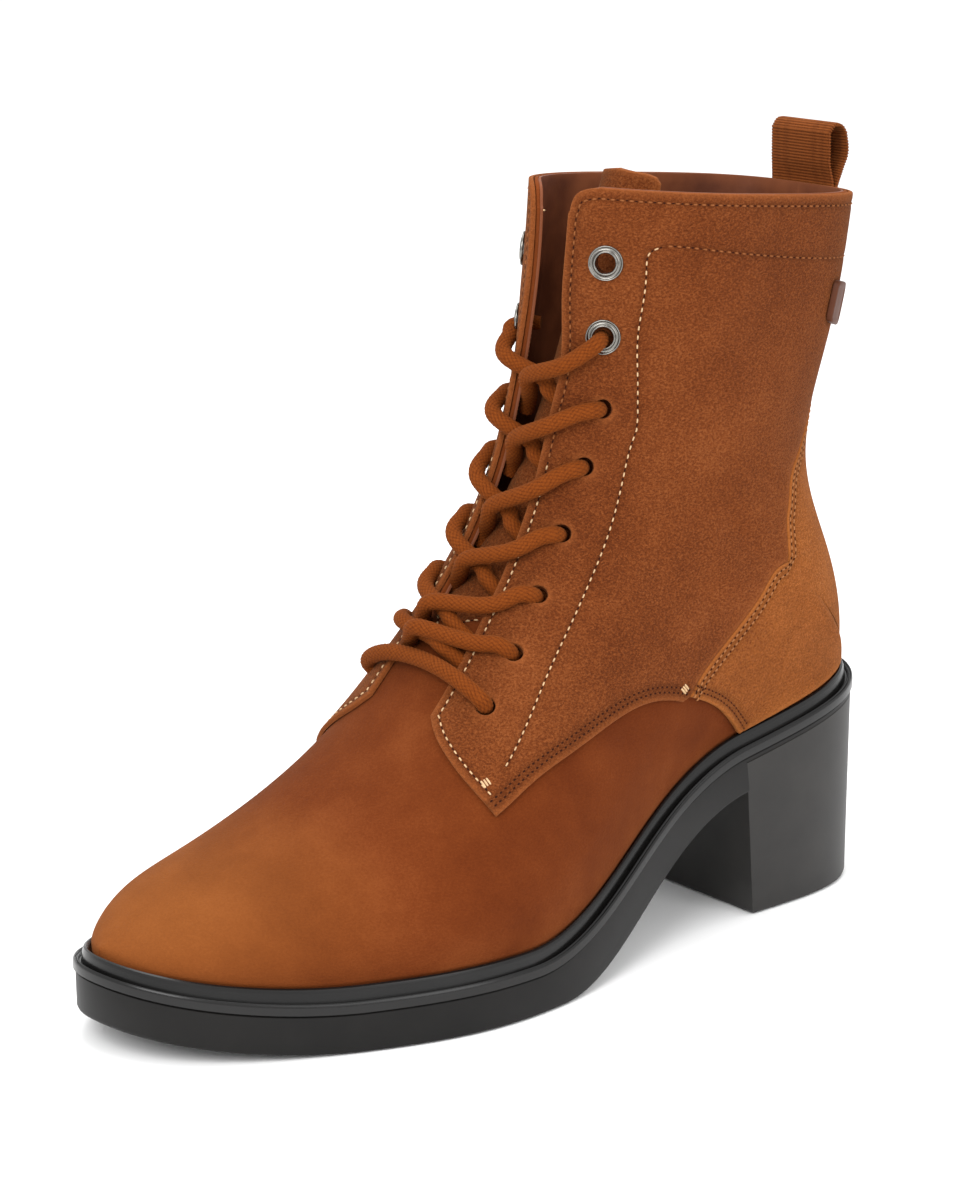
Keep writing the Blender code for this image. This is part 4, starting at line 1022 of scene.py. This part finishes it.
def sewing_pieces():
    """All stitch rows of the upper."""
    quarter_top = GAP + QUARTER_WALL - 0.18 * MM
    counter_top = GAP + COUNTER_WALL - 0.18 * MM

    def on_quarter(s, u):
        return quarter_top + relief(s, u)

    def on_counter(s, u):
        return counter_top + relief(s, u)

    def on_vamp(s, u):
        return relief(s, u) - 0.05 * MM

    def on_lining(s, u):
        return relief(s, u) - UPPER_WALL - 0.2 * MM

    light, brown, tonal, seam = Sewing(), Sewing(), Sewing(), Sewing()
    turn = int(np.argmax(EDGE_ROW[:, 0] > LIGHT_ROWS))
    light.sew(EDGE_ROW[:turn + 1], on_quarter, share=LIGHT_SHARE)
    brown.sew(EDGE_ROW[turn:], on_quarter)
    stay = curve(STAY_ROW, 6)
    light.sew(stay[:STAY_TURN * 6], on_quarter, share=LIGHT_SHARE, radius=0.2 * MM)
    brown.sew(stay[STAY_TURN * 6:], on_quarter)
    light.sew(curve(THROAT_SEAM, 6), on_vamp, share=LIGHT_SHARE)
    light.sew(row_beside(FACING_EDGE[3:], 2.4 * MM), on_lining, share=LIGHT_SHARE)
    for s, u in BAR_TACKS:
        reach = TACK_LENGTH / 2 / np.linalg.norm(stretches((s, u))[1])
        for step in (-TACK_STEP, 0.0, TACK_STEP):
            tack = shifted(np.array([(s, u - reach), (s, u + reach)]), step)
            light.sew(tack, on_quarter, 3.0 * MM, 0.9, 0.3 * MM)
    for rows, height in ((HEM_ROWS, on_quarter), (FRONT_ROWS, on_counter)):
        for row in rows:
            tonal.sew(row, height, 1.75 * MM, LIGHT_SHARE, 0.17 * MM)
    for row in SEAM_ROWS:
        seam.sew(row, on_counter, 2.0 * MM, 0.6, 0.2 * MM)
    threads = (("light", light, LIGHT_THREAD, "suede"), ("brown", brown, BROWN_THREAD, "suede"),
               ("tonal", tonal, TONAL_THREAD, "suede"), ("seam", seam, SEAM_THREAD, "counter_suede"))
    for word, sewing, thread, slot in threads:
        mesh_object(f"stitches_{word}", sewing.points, sewing.faces, thread)
    holes = [hole for thread in threads for hole in thread[1].holes]
    # Painted shade at the needle holes.
    points, faces = pinhole_mesh(holes, 0.42 * MM, 0.3 * MM)
    mesh_object("pinholes", points, faces, PINHOLE_SHADE)


# Lacing
def braid(turns, along, strands=12, pitch=1.7 * MM):
    """Relief of a round braid, 0 to 1, over the turn (0 to 1) and the length."""
    p = strands * turns + along / pitch
    q = strands * turns - along / pitch
    up, vp = p % 1, q % 1
    first = ((np.floor(p) + np.floor(q)) % 2) < 0.5
    across = np.where(first, vp, up)
    lengthwise = np.where(first, up, vp)
    return np.sqrt(np.sin(math.pi * across).clip(0)) * (0.55 + 0.45 * np.sin(math.pi * lengthwise))


def sweep(route, step):
    """Rings of frames along a smooth route: centres, two axes and lengths."""
    path = evenly(curve(route, 14), step)
    along = np.gradient(path, axis=0)
    along /= np.linalg.norm(along, axis=1)[:, None]
    side = np.cross(along[0], (0, 0, 1.0))
    firsts, seconds = [], []
    for direction in along:
        side = side - direction * np.dot(side, direction)
        side /= np.linalg.norm(side)
        firsts.append(side.copy())
        seconds.append(np.cross(direction, side))
    reach = np.concatenate([[0], np.cumsum(np.linalg.norm(np.diff(path, axis=0), axis=1))])
    return path, np.array(firsts), np.array(seconds), reach


def cord_mesh(name, route, finish, replaced=(), diameter=LACE_DIAMETER, waist=None, step=0.3 * MM,
              sides=60, relief_depth=0.24 * MM):
    """A braided round cord along a route, its ends closed."""
    path, firsts, seconds, reach = sweep(route, step)
    turns = np.arange(sides) / sides
    relief_and_shade = braid(turns[None, :], reach[:, None])
    radius = diameter / 2 - relief_depth * (1 - relief_and_shade)
    if waist is not None:
        radius = radius * waist(reach, reach[-1])[:, None]
    angles = turns * 2 * math.pi
    points = (path[:, None] + radius[..., None] * (np.cos(angles)[None, :, None] * firsts[:, None]
                                                   + np.sin(angles)[None, :, None] * seconds[:, None]))
    count = len(path)
    points = points.reshape(-1, 3)
    faces = [face for k in range(count - 1) for face in band(k * sides, (k + 1) * sides, sides)]
    faces.append(tuple(range(sides)))
    faces.append(tuple((count - 1) * sides + k for k in range(sides)))
    # The relief also goes to the shader as painted shade in the braid's hollows.
    return mesh_object(name, points, faces, finish, 60, replaced, {"relief_and_shade": relief_and_shade.ravel()})


LACE_OVER = GAP + QUARTER_WALL + LACE_DIAMETER / 2 + 0.1 * MM
LACE_UNDER = -UPPER_WALL - LACE_DIAMETER / 2 - 2 * GAP
LACE_SLACK = 0.0005
LACE_LOW = -0.0042
# Where a lace leaves the gap's far side, crosses its middle and climbs the near
# facing's edge, as shares of the way to the next hole
LACE_SHARES = (-0.30, -0.05, 0.25)
LACE_BEHIND = -UPPER_WALL - LACE_DIAMETER / 2 - 0.4 * MM


def lace_bed(s):
    """Height of a lace that lies in the gap, on the vamp or on the tongue."""
    rows, depths = zip(*TONGUE_DEPTH)
    bed = 0.0 if s < THROAT_ROW + 0.25 else -float(np.interp(s, rows, depths))
    return bed + GAP + LACE_DIAMETER / 2


def waisted(start, end):
    """Narrowing of a lace where it is squeezed in its holes."""
    def shape(reach, total):
        squeeze = np.ones(len(reach))
        if start:
            squeeze = np.minimum(squeeze, 0.80 + 0.20 * np.clip(reach / (5 * MM), 0, 1))
        if end:
            squeeze = np.minimum(squeeze, 0.80 + 0.20 * np.clip((total - reach) / (5 * MM), 0, 1))
        return squeeze
    return shape


def crossing_route(number, side, rise):
    """One lace of a crossing: from under the far facing over to the next hole and into it."""
    low, high = HOLES[number - 1], HOLES[number]
    bar = HOLES[0][0]
    lowest = bar + number * (LACE_DIAMETER + GAP) / np.linalg.norm(stretches((bar, 0.0))[0])
    start, middle, edge = (max(low[0] + (high[0] - low[0]) * share,
                               lowest + (high[0] - lowest) * 0.75 * (share - LACE_SHARES[0]))
                           for share in LACE_SHARES)
    near = facing_share(edge)
    far = facing_share(start)
    rest = max(lace_bed(start), LACE_UNDER)
    sunk = max(lace_bed(middle), LACE_LOW)
    taut = sunk + rise
    landing = LACE_OVER + (EYELET_LIP if number + 1 in METAL_HOLES else 0)
    per_share = np.linalg.norm(stretches((high[0], side * high[1]))[1])
    back = LACE_DIAMETER / 2 / per_share
    tucked = start - 0.10 * (high[0] - start)
    press = 0.5 * MM if side > 0 else 0.9 * MM
    run = np.array([high[0] - edge, side * (high[1] - near)])
    length = np.linalg.norm(lay([high * np.array([1, side])], 0) - lay([(edge, side * near)], 0))

    def before(distance):
        return tuple(np.array([high[0], side * high[1]]) - run * distance / length)

    route = [
        ((tucked, -side * (far + 2.6 * back)), LACE_BEHIND),
        ((start, -side * (far + 0.6 * back)), (LACE_BEHIND + rest) / 2 - 0.4 * MM),
        ((0.6 * start + 0.4 * middle, -side * far * 0.45), (2 * rest + taut) / 3),
        ((middle, 0.0), taut),
        ((edge, side * (near + 0.002)), LACE_OVER),
        (before(0.45 * length), (LACE_OVER + landing) / 2 - press),
        (before(0.58 * LACE_DIAMETER), landing - 0.8 * MM - press),
        (before(0.19 * LACE_DIAMETER), -0.6 * MM),
        (before(0.11 * LACE_DIAMETER), LACE_BEHIND),
    ]
    return np.concatenate([lay([place], height) for place, height in route])


def lace_pieces():
    """The bottom bar and six crossings; the outer lace lies on top at each crossing."""
    s, u = HOLES[0]
    edge = facing_share(s)
    per_share = np.linalg.norm(stretches(HOLES[0])[1])
    back = LACE_DIAMETER / 2 / per_share
    half = [((s, u - 0.10 * back), LACE_BEHIND), ((s, u - 0.28 * back), -0.6 * MM),
            ((s, u - 0.95 * back), LACE_OVER - 0.3 * MM), ((s, edge), LACE_OVER)]
    bar = half + [((s, 0.0), lace_bed(s) + LACE_SLACK)] + [((a, -b), h) for (a, b), h in half[::-1]]
    route = np.concatenate([lay([place], height) for place, height in bar])
    cord_mesh("lace_bar_cord", route, LACE_CORD, ("lace_bar",), waist=waisted(True, True))
    for number in range(1, len(HOLES) - 1):
        lift = 0.92 * LACE_DIAMETER
        cord_mesh(f"lace_over_{number}", crossing_route(number, 1, lift), LACE_CORD,
                  (f"lace_cross_{number}",), waist=waisted(False, True))
        cord_mesh(f"lace_under_{number}", crossing_route(number, -1, 0), LACE_CORD,
                  waist=waisted(False, True))


def turned(name, centre, axis, profile, finish, count=48, replaced=()):
    """A closed profile of (radius, height) turned round an axis."""
    first = np.cross(axis, (0, 0, 1.0))
    first /= np.linalg.norm(first)
    second = np.cross(axis, first)
    angles = np.arange(count) * 2 * math.pi / count
    spokes = np.outer(np.cos(angles), first) + np.outer(np.sin(angles), second)
    rings = np.array([centre + radius * spokes + height * axis for radius, height in profile])
    faces = []
    levels = len(profile)
    for i in range(levels):
        faces.extend(band(i * count, (i + 1) % levels * count, count))
    return mesh_object(name, rings.reshape(-1, 3), faces, finish, 50, replaced)


def eyelet_pieces():
    """Rolled metal eyelets in the two top holes of each facing."""
    bore, outer = EYELET_BORE / 2 - 0.05 * MM, EYELET_FLANGE / 2
    seat = GAP + QUARTER_WALL
    foot = -UPPER_WALL - 0.3 * MM
    section = curve([(bore, seat + 0.2 * MM), (bore + 0.05 * MM, seat + 0.7 * MM),
                     (bore + 0.35 * MM, seat + 1.0 * MM), (bore + 0.70 * MM, seat + 0.65 * MM),
                     (bore + 1.05 * MM, seat + 0.35 * MM), (outer - 0.62 * MM, seat + 0.36 * MM),
                     (outer - 0.30 * MM, seat + 0.62 * MM), (outer - 0.06 * MM, seat + 0.52 * MM),
                     (outer, seat + 0.2 * MM)], 3)
    barrel = bore + 0.45 * MM
    profile = [(bore, foot), *section, (outer - 0.1 * MM, seat), (barrel, seat), (barrel, foot)]
    for number in METAL_HOLES:
        for side, word in ((1, "lateral"), (-1, "medial")):
            s, u = HOLES[number - 1]
            centre = lay([(s, side * u)], float(relief(s, side * u)))[0]
            axis = last_normal([s], [side * u])[0]
            turned(f"eyelet_ring_{word}_{number}", centre, axis, profile, NICKEL,
                   replaced=(f"eyelet_{word}_{number}",))


# Pull loop and tab
def loop_piece():
    """The pull loop: ribbed webbing folded over."""
    seat = GAP * 2 + QUARTER_WALL
    row = 0.02
    climb = (last_point([TOP_ROW], [1]) - last_point([TOP_ROW - row], [1]))[0]
    per_row = np.linalg.norm(climb) / row
    girth = np.linalg.norm((last_point([TOP_ROW], [1]) - last_point([TOP_ROW], [0.98]))[0]) / 0.02
    half = LOOP_DEPTH / 2 - WEBBING / 2
    straight = LOOP_RISE - LOOP_DEPTH / 2
    front = [(WEBBING * 0.5, -LOOP_TAIL), (WEBBING * 0.5, -0.006), (WEBBING * 0.6, 0.0),
             (LOOP_DEPTH / 2 - half, 0.007), (LOOP_DEPTH / 2 - half, straight)]
    hoop = [(LOOP_DEPTH / 2 - half * math.cos(a), straight + half * math.sin(a))
            for a in np.linspace(0.35, math.pi - 0.35, 5)]
    rear = [(LOOP_DEPTH / 2 + half, straight), (LOOP_DEPTH / 2 + half, 0.008), (WEBBING * 2.1, 0.001),
            (WEBBING * 1.62, -0.006), (WEBBING * 1.62, -LOOP_TAIL)]
    centre = evenly(curve(front + hoop + rear, 14), 0.14 * MM)
    run = np.gradient(centre, axis=0)
    run /= np.linalg.norm(run, axis=1)[:, None]
    normal = np.stack([-run[:, 1], run[:, 0]], axis=1)
    reach = np.concatenate([[0], np.cumsum(np.linalg.norm(np.diff(centre, axis=0), axis=1))])
    rib = 0.5 + 0.5 * np.cos(reach / (0.85 * MM) * 2 * math.pi)
    middle = last_point([TOP_ROW], [1])[0]
    straight_out = last_normal([TOP_ROW], [1])[0]
    columns = np.linspace(-1, 1, 25)
    columns = np.sign(columns) * np.abs(columns)**0.85
    layers = []
    rib_shades_and_tones = []
    for way in (1, -1):
        sheet, rib_shade_and_tone = [], []
        for column_share in columns:
            across = column_share * LOOP_WIDTH / 2 - LOOP_ASIDE
            selvage = np.clip((abs(column_share) - 0.88) / 0.12, 0, 1)
            thick = (WEBBING / 2 - 0.05 * MM) * (1 - 0.35 * selvage**2)
            depth = thick - 0.16 * MM * (1 - rib) * (1 - 0.5 * selvage)
            spots = centre + normal * (way * depth)[:, None]
            wave = across + np.sign(column_share) * 0.3 * MM * selvage * (rib - 0.5)
            u = math.copysign(1 - abs(across) / girth, across) if across else 1.0
            s = TOP_ROW + np.minimum(spots[:, 1], 0) / per_row
            u = np.full(len(s), u)
            curved = last_point(s, u) + last_normal(s, u) * (seat + spots[:, :1])
            flat = middle + np.outer(wave, (1, 0, 0)) + straight_out * (seat + spots[:, :1] - LOOP_LEAN)
            rise = np.maximum(spots[:, 1:], 0)
            share = np.clip(rise / LOOP_FLAT_RISE, 0, 1)
            share = share * share * (3 - 2 * share)
            sheet.append(curved * (1 - share) + flat * share + rise * (0, 0, 1))
            # Painted shade between the ribs, with a tone that differs from column to column.
            rib_shade_and_tone.append(rib * (0.8 + 0.2 * np.cos(column_share * 60)))
        layers.append(np.array(sheet))
        rib_shades_and_tones.append(np.array(rib_shade_and_tone))
    wide, long = layers[0].shape[:2]
    points = np.concatenate([layer.reshape(-1, 3) for layer in layers])
    block = wide * long
    faces = []
    for i in range(wide - 1):
        for k in range(long - 1):
            a, b, c, d = i * long + k, i * long + k + 1, (i + 1) * long + k + 1, (i + 1) * long + k
            faces.append((a, b, c, d))
            faces.append((a + block, d + block, c + block, b + block))
    for i in (0, wide - 1):
        for k in range(long - 1):
            a, b = i * long + k, i * long + k + 1
            faces.append((a, b, b + block, a + block))
    for k in (0, long - 1):
        for i in range(wide - 1):
            a, b = i * long + k, (i + 1) * long + k
            faces.append((a, b, b + block, a + block))
    mesh_object("pull_loop_webbing", points, faces, WEBBING_CLOTH, 60, ("pull_loop",),
                {"relief_and_shade": np.concatenate([y.ravel() for y in rib_shades_and_tones])})


TAB_SQUARENESS = 0.35


def tab_piece():
    """A plain moulded tab with a raised rim."""
    s, u = TAB_PLACE
    per_row, per_share = np.linalg.norm(stretches(TAB_PLACE), axis=1)
    count = 48
    angles = np.arange(count) * 2 * math.pi / count
    square = [np.sign(wave) * np.abs(wave)**TAB_SQUARENESS for wave in (np.cos(angles), np.sin(angles))]
    seat = 2 * GAP + QUARTER_WALL
    profile = [(1.0, 0.0), (1.0, 0.75), (0.96, 0.95), (0.90, 1.0), (0.78, 1.0), (0.72, 0.86),
               (0.66, 0.82), (0.3, 0.84)]
    rings = []
    for scale, lift in profile:
        flat = np.column_stack([s + square[0] * scale * TAB_HEIGHT / 2 / per_row,
                                u + square[1] * scale * TAB_WIDTH / 2 / per_share])
        rings.append(lay(flat, seat + lift * TAB_WALL))
    points = np.concatenate(rings)
    faces = []
    for level in range(len(rings) - 1):
        faces.extend(band(level * count, (level + 1) * count, count))
    faces.append(tuple(range(count)))
    faces.append(tuple((len(rings) - 1) * count + k for k in range(count)))
    mesh_object("side_tab_plain", points, faces, TAB_FINISH, 40, ("side_tab",))


# Sole
def sole_rows(count=120):
    """Rows of s, close together at both ends, for the sole's outline."""
    bunched = (1 - np.cos(np.linspace(0, math.pi, count))) / 2 * HEEL_ROW
    return bunched * 0.35 + np.linspace(0, HEEL_ROW, count) * 0.65


def sole_outline(grow):
    """The feather outline grown outwards in plan."""
    rows = sole_rows()
    outer = last_point(rows, np.ones(len(rows)))
    inner = last_point(rows, -np.ones(len(rows)))
    ring = np.concatenate([outer, inner[-2:0:-1]])[:, :2]
    ring = evenly(ring, 2.0 * MM, closed=True)
    for _ in range(3):
        ring = (np.roll(ring, 1, axis=0) + 2 * ring + np.roll(ring, -1, axis=0)) / 4
    normal = -sideways(np.roll(ring, -1, axis=0) - np.roll(ring, 1, axis=0))
    ahead = np.roll(ring, -1, axis=0)
    if np.sum(ring[:, 0] * ahead[:, 1] - ahead[:, 0] * ring[:, 1]) < 0:
        normal = -normal
    return ring + grow * normal


def sole_ring(grow, lift, flat_back=FEATHER_FLAT):
    """A ring of the sole at a lift above the feather edge."""
    ring = sole_outline(grow)
    return np.column_stack([ring, feather_height(ring[:, 1], flat_back) + lift])


def ring_stack(name, rings, finish, closed=False, replaced=(), sharp=35, ladder=True):
    """Skin a stack of equal rings, capped by rungs from side to side or by one flat face."""
    rings = np.asarray(rings, float)
    levels, count = rings.shape[:2]
    faces = []
    for level in range(levels if closed else levels - 1):
        faces.extend(band(level * count, (level + 1) % levels * count, count))
    if not closed:
        for end in (0, (levels - 1) * count):
            if not ladder:
                faces.append(tuple(end + k for k in range(count)))
                continue
            faces.append((end, end + 1, end + count - 1))
            faces.extend((end + k, end + k + 1, end + count - k - 1, end + count - k)
                         for k in range(1, (count - 1) // 2))
            if count % 2 == 0:
                faces.append((end + count // 2 - 1, end + count // 2, end + count // 2 + 1))
    return mesh_object(name, rings.reshape(-1, 3), faces, finish, sharp, replaced)


# Section of the welt: shares of its width outwards, and of its height above the feather
WELT_PROFILE = [(-1.0, 0.0), (0.03, 0.0), (0.12, 0.20), (0.24, 0.38), (0.36, 0.45), (0.46, 0.38),
                (0.53, 0.14), (0.56, -0.30), (0.62, -0.52), (0.68, -0.52), (0.72, -0.40),
                (0.76, -0.36), (0.80, -0.40), (0.83, -0.47), (0.87, -0.47), (0.90, -0.38),
                (0.94, -0.35), (0.98, -0.42), (1.00, -0.55)]
# Side of the welt under its ledge, and the thin seat under the welt's heel part
BAND_HEIGHT = 2.3 * MM
SEAT_LINE = 1.3 * MM
PARTING = 0.2 * MM


def welt_piece():
    """The welt: a bead along the upper, a groove and a ledge with a raised edge."""
    rings = []
    for out, up in WELT_PROFILE:
        width = WELT_WIDTH if out > 0 else REBATE
        rings.append(sole_ring(out * width, up * WELT_HEIGHT - GAP))
    rings.append(sole_ring(WELT_WIDTH, PARTING + 0.2 * MM - LEDGE_DROP))
    rings.append(sole_ring(WELT_WIDTH - 0.3 * MM, PARTING - LEDGE_DROP))
    rings.append(sole_ring(-REBATE, PARTING - LEDGE_DROP))
    ring_stack("welt_bead", rings, WELT_RUBBER, closed=True, replaced=("welt",))


LEDGE_DROP = GAP + 0.55 * WELT_HEIGHT + BAND_HEIGHT
SEAT_DROP = LEDGE_DROP + SEAT_LINE


def seat_slope():
    """The seat plane in side view: its slope and its height at the breast."""
    ends = np.array([BREAST_TOP, SOLE_BACK])
    heights = feather_height(ends) - SEAT_DROP
    return (heights[1] - heights[0]) / (ends[1] - ends[0]), heights[0]


def outsole_piece():
    """Forefoot, waist and a thin seat; the heel's room is cut away under the seat."""
    side = WELT_WIDTH - WELT_RECESS
    soft = 0.35 * MM
    made = ring_stack("outsole_rubber", [
        sole_ring(-REBATE - GAP, -GAP),
        sole_ring(-REBATE - GAP, -LEDGE_DROP),
        sole_ring(side - soft, -LEDGE_DROP),
        sole_ring(side, -LEDGE_DROP - soft),
        sole_ring(side, EDGE_CHAMFER - FOREFOOT_THICK, TREAD_BACK),
        sole_ring(side - soft, EDGE_CHAMFER / 3 - FOREFOOT_THICK, TREAD_BACK),
        sole_ring(side - EDGE_CHAMFER, -FOREFOOT_THICK, TREAD_BACK),
    ], SOLE_RUBBER, replaced=("outsole",))
    slope, front_z = seat_slope()
    lean = (BREAST_BASE - BREAST_TOP) / front_z
    far, low, half = SOLE_BACK + WELT_WIDTH, -0.01, SOLE_LENGTH / 2
    corners = [(BREAST_TOP, front_z), (far, front_z + slope * (far - BREAST_TOP)), (far, low),
               (BREAST_TOP + lean * (front_z - low), low)]
    mesh = bpy.data.meshes.new("heel_room")
    sides = [(k, 4 + k, 4 + (k + 1) % 4, (k + 1) % 4) for k in range(4)]
    mesh.from_pydata([(x, y, z) for x in (-half, half) for y, z in corners], [],
                     [(0, 1, 2, 3), (7, 6, 5, 4)] + sides)
    cutter = bpy.data.objects.new("heel_room", mesh)
    bpy.context.scene.collection.objects.link(cutter)
    step = made.modifiers.new("cut", "BOOLEAN")
    step.operation = "DIFFERENCE"
    step.solver = "EXACT"
    step.object = cutter
    bpy.context.view_layer.update()
    result = bpy.data.meshes.new_from_object(made.evaluated_get(bpy.context.evaluated_depsgraph_get()))
    made.modifiers.remove(step)
    made.data = result
    result.set_sharp_from_angle(angle=math.radians(35))
    bpy.data.objects.remove(cutter)


def heel_piece():
    """The block heel: its top follows the seat, its breast leans and its base is flat."""
    plan = sole_outline(WELT_WIDTH - WELT_RECESS)
    slope, front_z = seat_slope()
    front_z -= 0.1 * MM
    sides = []
    for way in (1, -1):
        line = plan[(plan[:, 0] * way > 0) & (plan[:, 1] > BREAST_TOP - 4 * MM)]
        line = line[np.argsort(line[:, 1])]
        start = (np.interp(BREAST_TOP, line[:, 1], line[:, 0]), BREAST_TOP)
        sides.append(np.concatenate([[start], line[line[:, 1] > BREAST_TOP + 1 * MM]]))
    top = np.concatenate([sides[0], sides[1][::-1]])
    top_z = front_z + slope * (top[:, 1] - BREAST_TOP)
    ratio = HEEL_BASE_WIDTH / (sides[0][0][0] - sides[1][0][0])
    back = SOLE_BACK - WELT_RECESS
    base = np.column_stack([top[:, 0] * ratio, BREAST_BASE + (top[:, 1] - BREAST_TOP) * (back - BREAST_BASE)
                            / (back - BREAST_TOP)])
    middle = base.mean(axis=0)
    soft = 0.3 * MM
    rings = []
    for inset, height in ((soft, 1.0), (0.0, 1 - soft / front_z), (0.0, EDGE_CHAMFER / front_z),
                          (EDGE_CHAMFER * 0.35, EDGE_CHAMFER * 0.3 / front_z), (EDGE_CHAMFER, 0.0)):
        ring = base + (top - base) * height
        ring = middle + (ring - middle) * (1 - inset / (HEEL_BASE_WIDTH / 2))
        rings.append(np.column_stack([ring, top_z * height]))
    ring_stack("heel_block", rings, HEEL_RUBBER_PAINTED_LIGHT, replaced=("heel",), ladder=False)


def insole_piece():
    """The sock inside the foot."""
    grow = -UPPER_WALL - 5 * GAP
    soft = 0.4 * MM
    rings = [sole_ring(grow, 0), sole_ring(grow, INSOLE_THICK - soft), sole_ring(grow - soft, INSOLE_THICK)]
    ring_stack("insole_sock", rings, SOCK, replaced=("insole",))


# Studio
CAMERA_AZIMUTH = 52.0
CAMERA_ELEVATION = 15.0
CAMERA_DISTANCE = 0.89
CAMERA_ROLL = -0.6
CAMERA_LENS = 98.1
CAMERA_SENSOR = 36
CAMERA_TARGET = Vector((0, -0.0925, 0.0996))
FLOOR_HALF = 12.0
FLOOR_DROP = 0.2 * MM
PAPER_WHITE = 0.97
ROOM_LIGHT = 1.05
# Soft boxes: place, width and height, and watts
LIGHT_TARGET = (0, -0.09, 0.08)
LIGHTS = {
    "key": ((0.55, -1.2, 1.1), (0.9, 0.9), 16),
    "side": ((1.3, 0.1, 0.8), (0.8, 1.0), 7),
    "top": ((-0.2, 0.1, 1.5), (1.0, 1.0), 10),
}


def camera():
    """The camera at the photograph's angle."""
    azimuth, elevation, roll = (math.radians(v) for v in (CAMERA_AZIMUTH, CAMERA_ELEVATION, CAMERA_ROLL))
    back = Vector((math.sin(azimuth) * math.cos(elevation), -math.cos(azimuth) * math.cos(elevation),
                   math.sin(elevation)))
    right = Vector((math.cos(azimuth), math.sin(azimuth), 0))
    up = back.cross(right)
    turned_right = right * math.cos(roll) + up * math.sin(roll)
    turned_up = up * math.cos(roll) - right * math.sin(roll)
    data = bpy.data.cameras.new("camera")
    data.lens = CAMERA_LENS
    data.sensor_width = data.sensor_height = CAMERA_SENSOR
    data.sensor_fit = "AUTO"
    made = bpy.data.objects.new("camera", data)
    rotation = Matrix((turned_right, turned_up, back)).transposed().to_4x4()
    made.matrix_world = Matrix.Translation(CAMERA_TARGET + back * CAMERA_DISTANCE) @ rotation
    bpy.context.scene.collection.objects.link(made)
    bpy.context.scene.camera = made


def area_light(name, place, size, watts):
    """A soft box that faces the boot."""
    data = bpy.data.lights.new(name, "AREA")
    data.shape = "RECTANGLE"
    data.size, data.size_y = size
    data.energy = watts
    made = bpy.data.objects.new(name, data)
    made.location = place
    made.rotation_euler = (Vector(LIGHT_TARGET) - Vector(place)).to_track_quat("-Z", "Y").to_euler()
    bpy.context.scene.collection.objects.link(made)


def studio():
    """Pale floor, soft boxes and a white room."""
    mesh = bpy.data.meshes.new("floor")
    corners = [(x * FLOOR_HALF, y * FLOOR_HALF, 0) for x, y in ((-1, -1), (1, -1), (1, 1), (-1, 1))]
    mesh.from_pydata(corners, [], [(0, 1, 2, 3)])
    floor = bpy.data.objects.new("floor", mesh)
    paper = bpy.data.materials.new("paper")
    paper.use_nodes = True
    shader = paper.node_tree.nodes["Principled BSDF"]
    shader.inputs["Base Color"].default_value = (PAPER_WHITE, PAPER_WHITE, PAPER_WHITE, 1)
    shader.inputs["Roughness"].default_value = 0.9
    shader.inputs["Specular IOR Level"].default_value = 0.1
    floor.data.materials.append(paper)
    floor.location = (0, 0, -FLOOR_DROP)
    bpy.context.scene.collection.objects.link(floor)
    world = bpy.data.worlds.new("room")
    world.use_nodes = True
    world.node_tree.nodes["Background"].inputs["Color"].default_value = (1.0, 1.0, 1.0, 1)
    world.node_tree.nodes["Background"].inputs["Strength"].default_value = ROOM_LIGHT
    bpy.context.scene.world = world
    for name, (place, size, watts) in LIGHTS.items():
        area_light(name, place, size, watts)
    bpy.context.scene.view_settings.view_transform = "Standard"


camera()
studio()
shell_pieces()
quarter_pieces()
counter_piece()
tongue_piece()
sewing_pieces()
lace_pieces()
eyelet_pieces()
loop_piece()
tab_piece()
welt_piece()
outsole_piece()
heel_piece()
insole_piece()
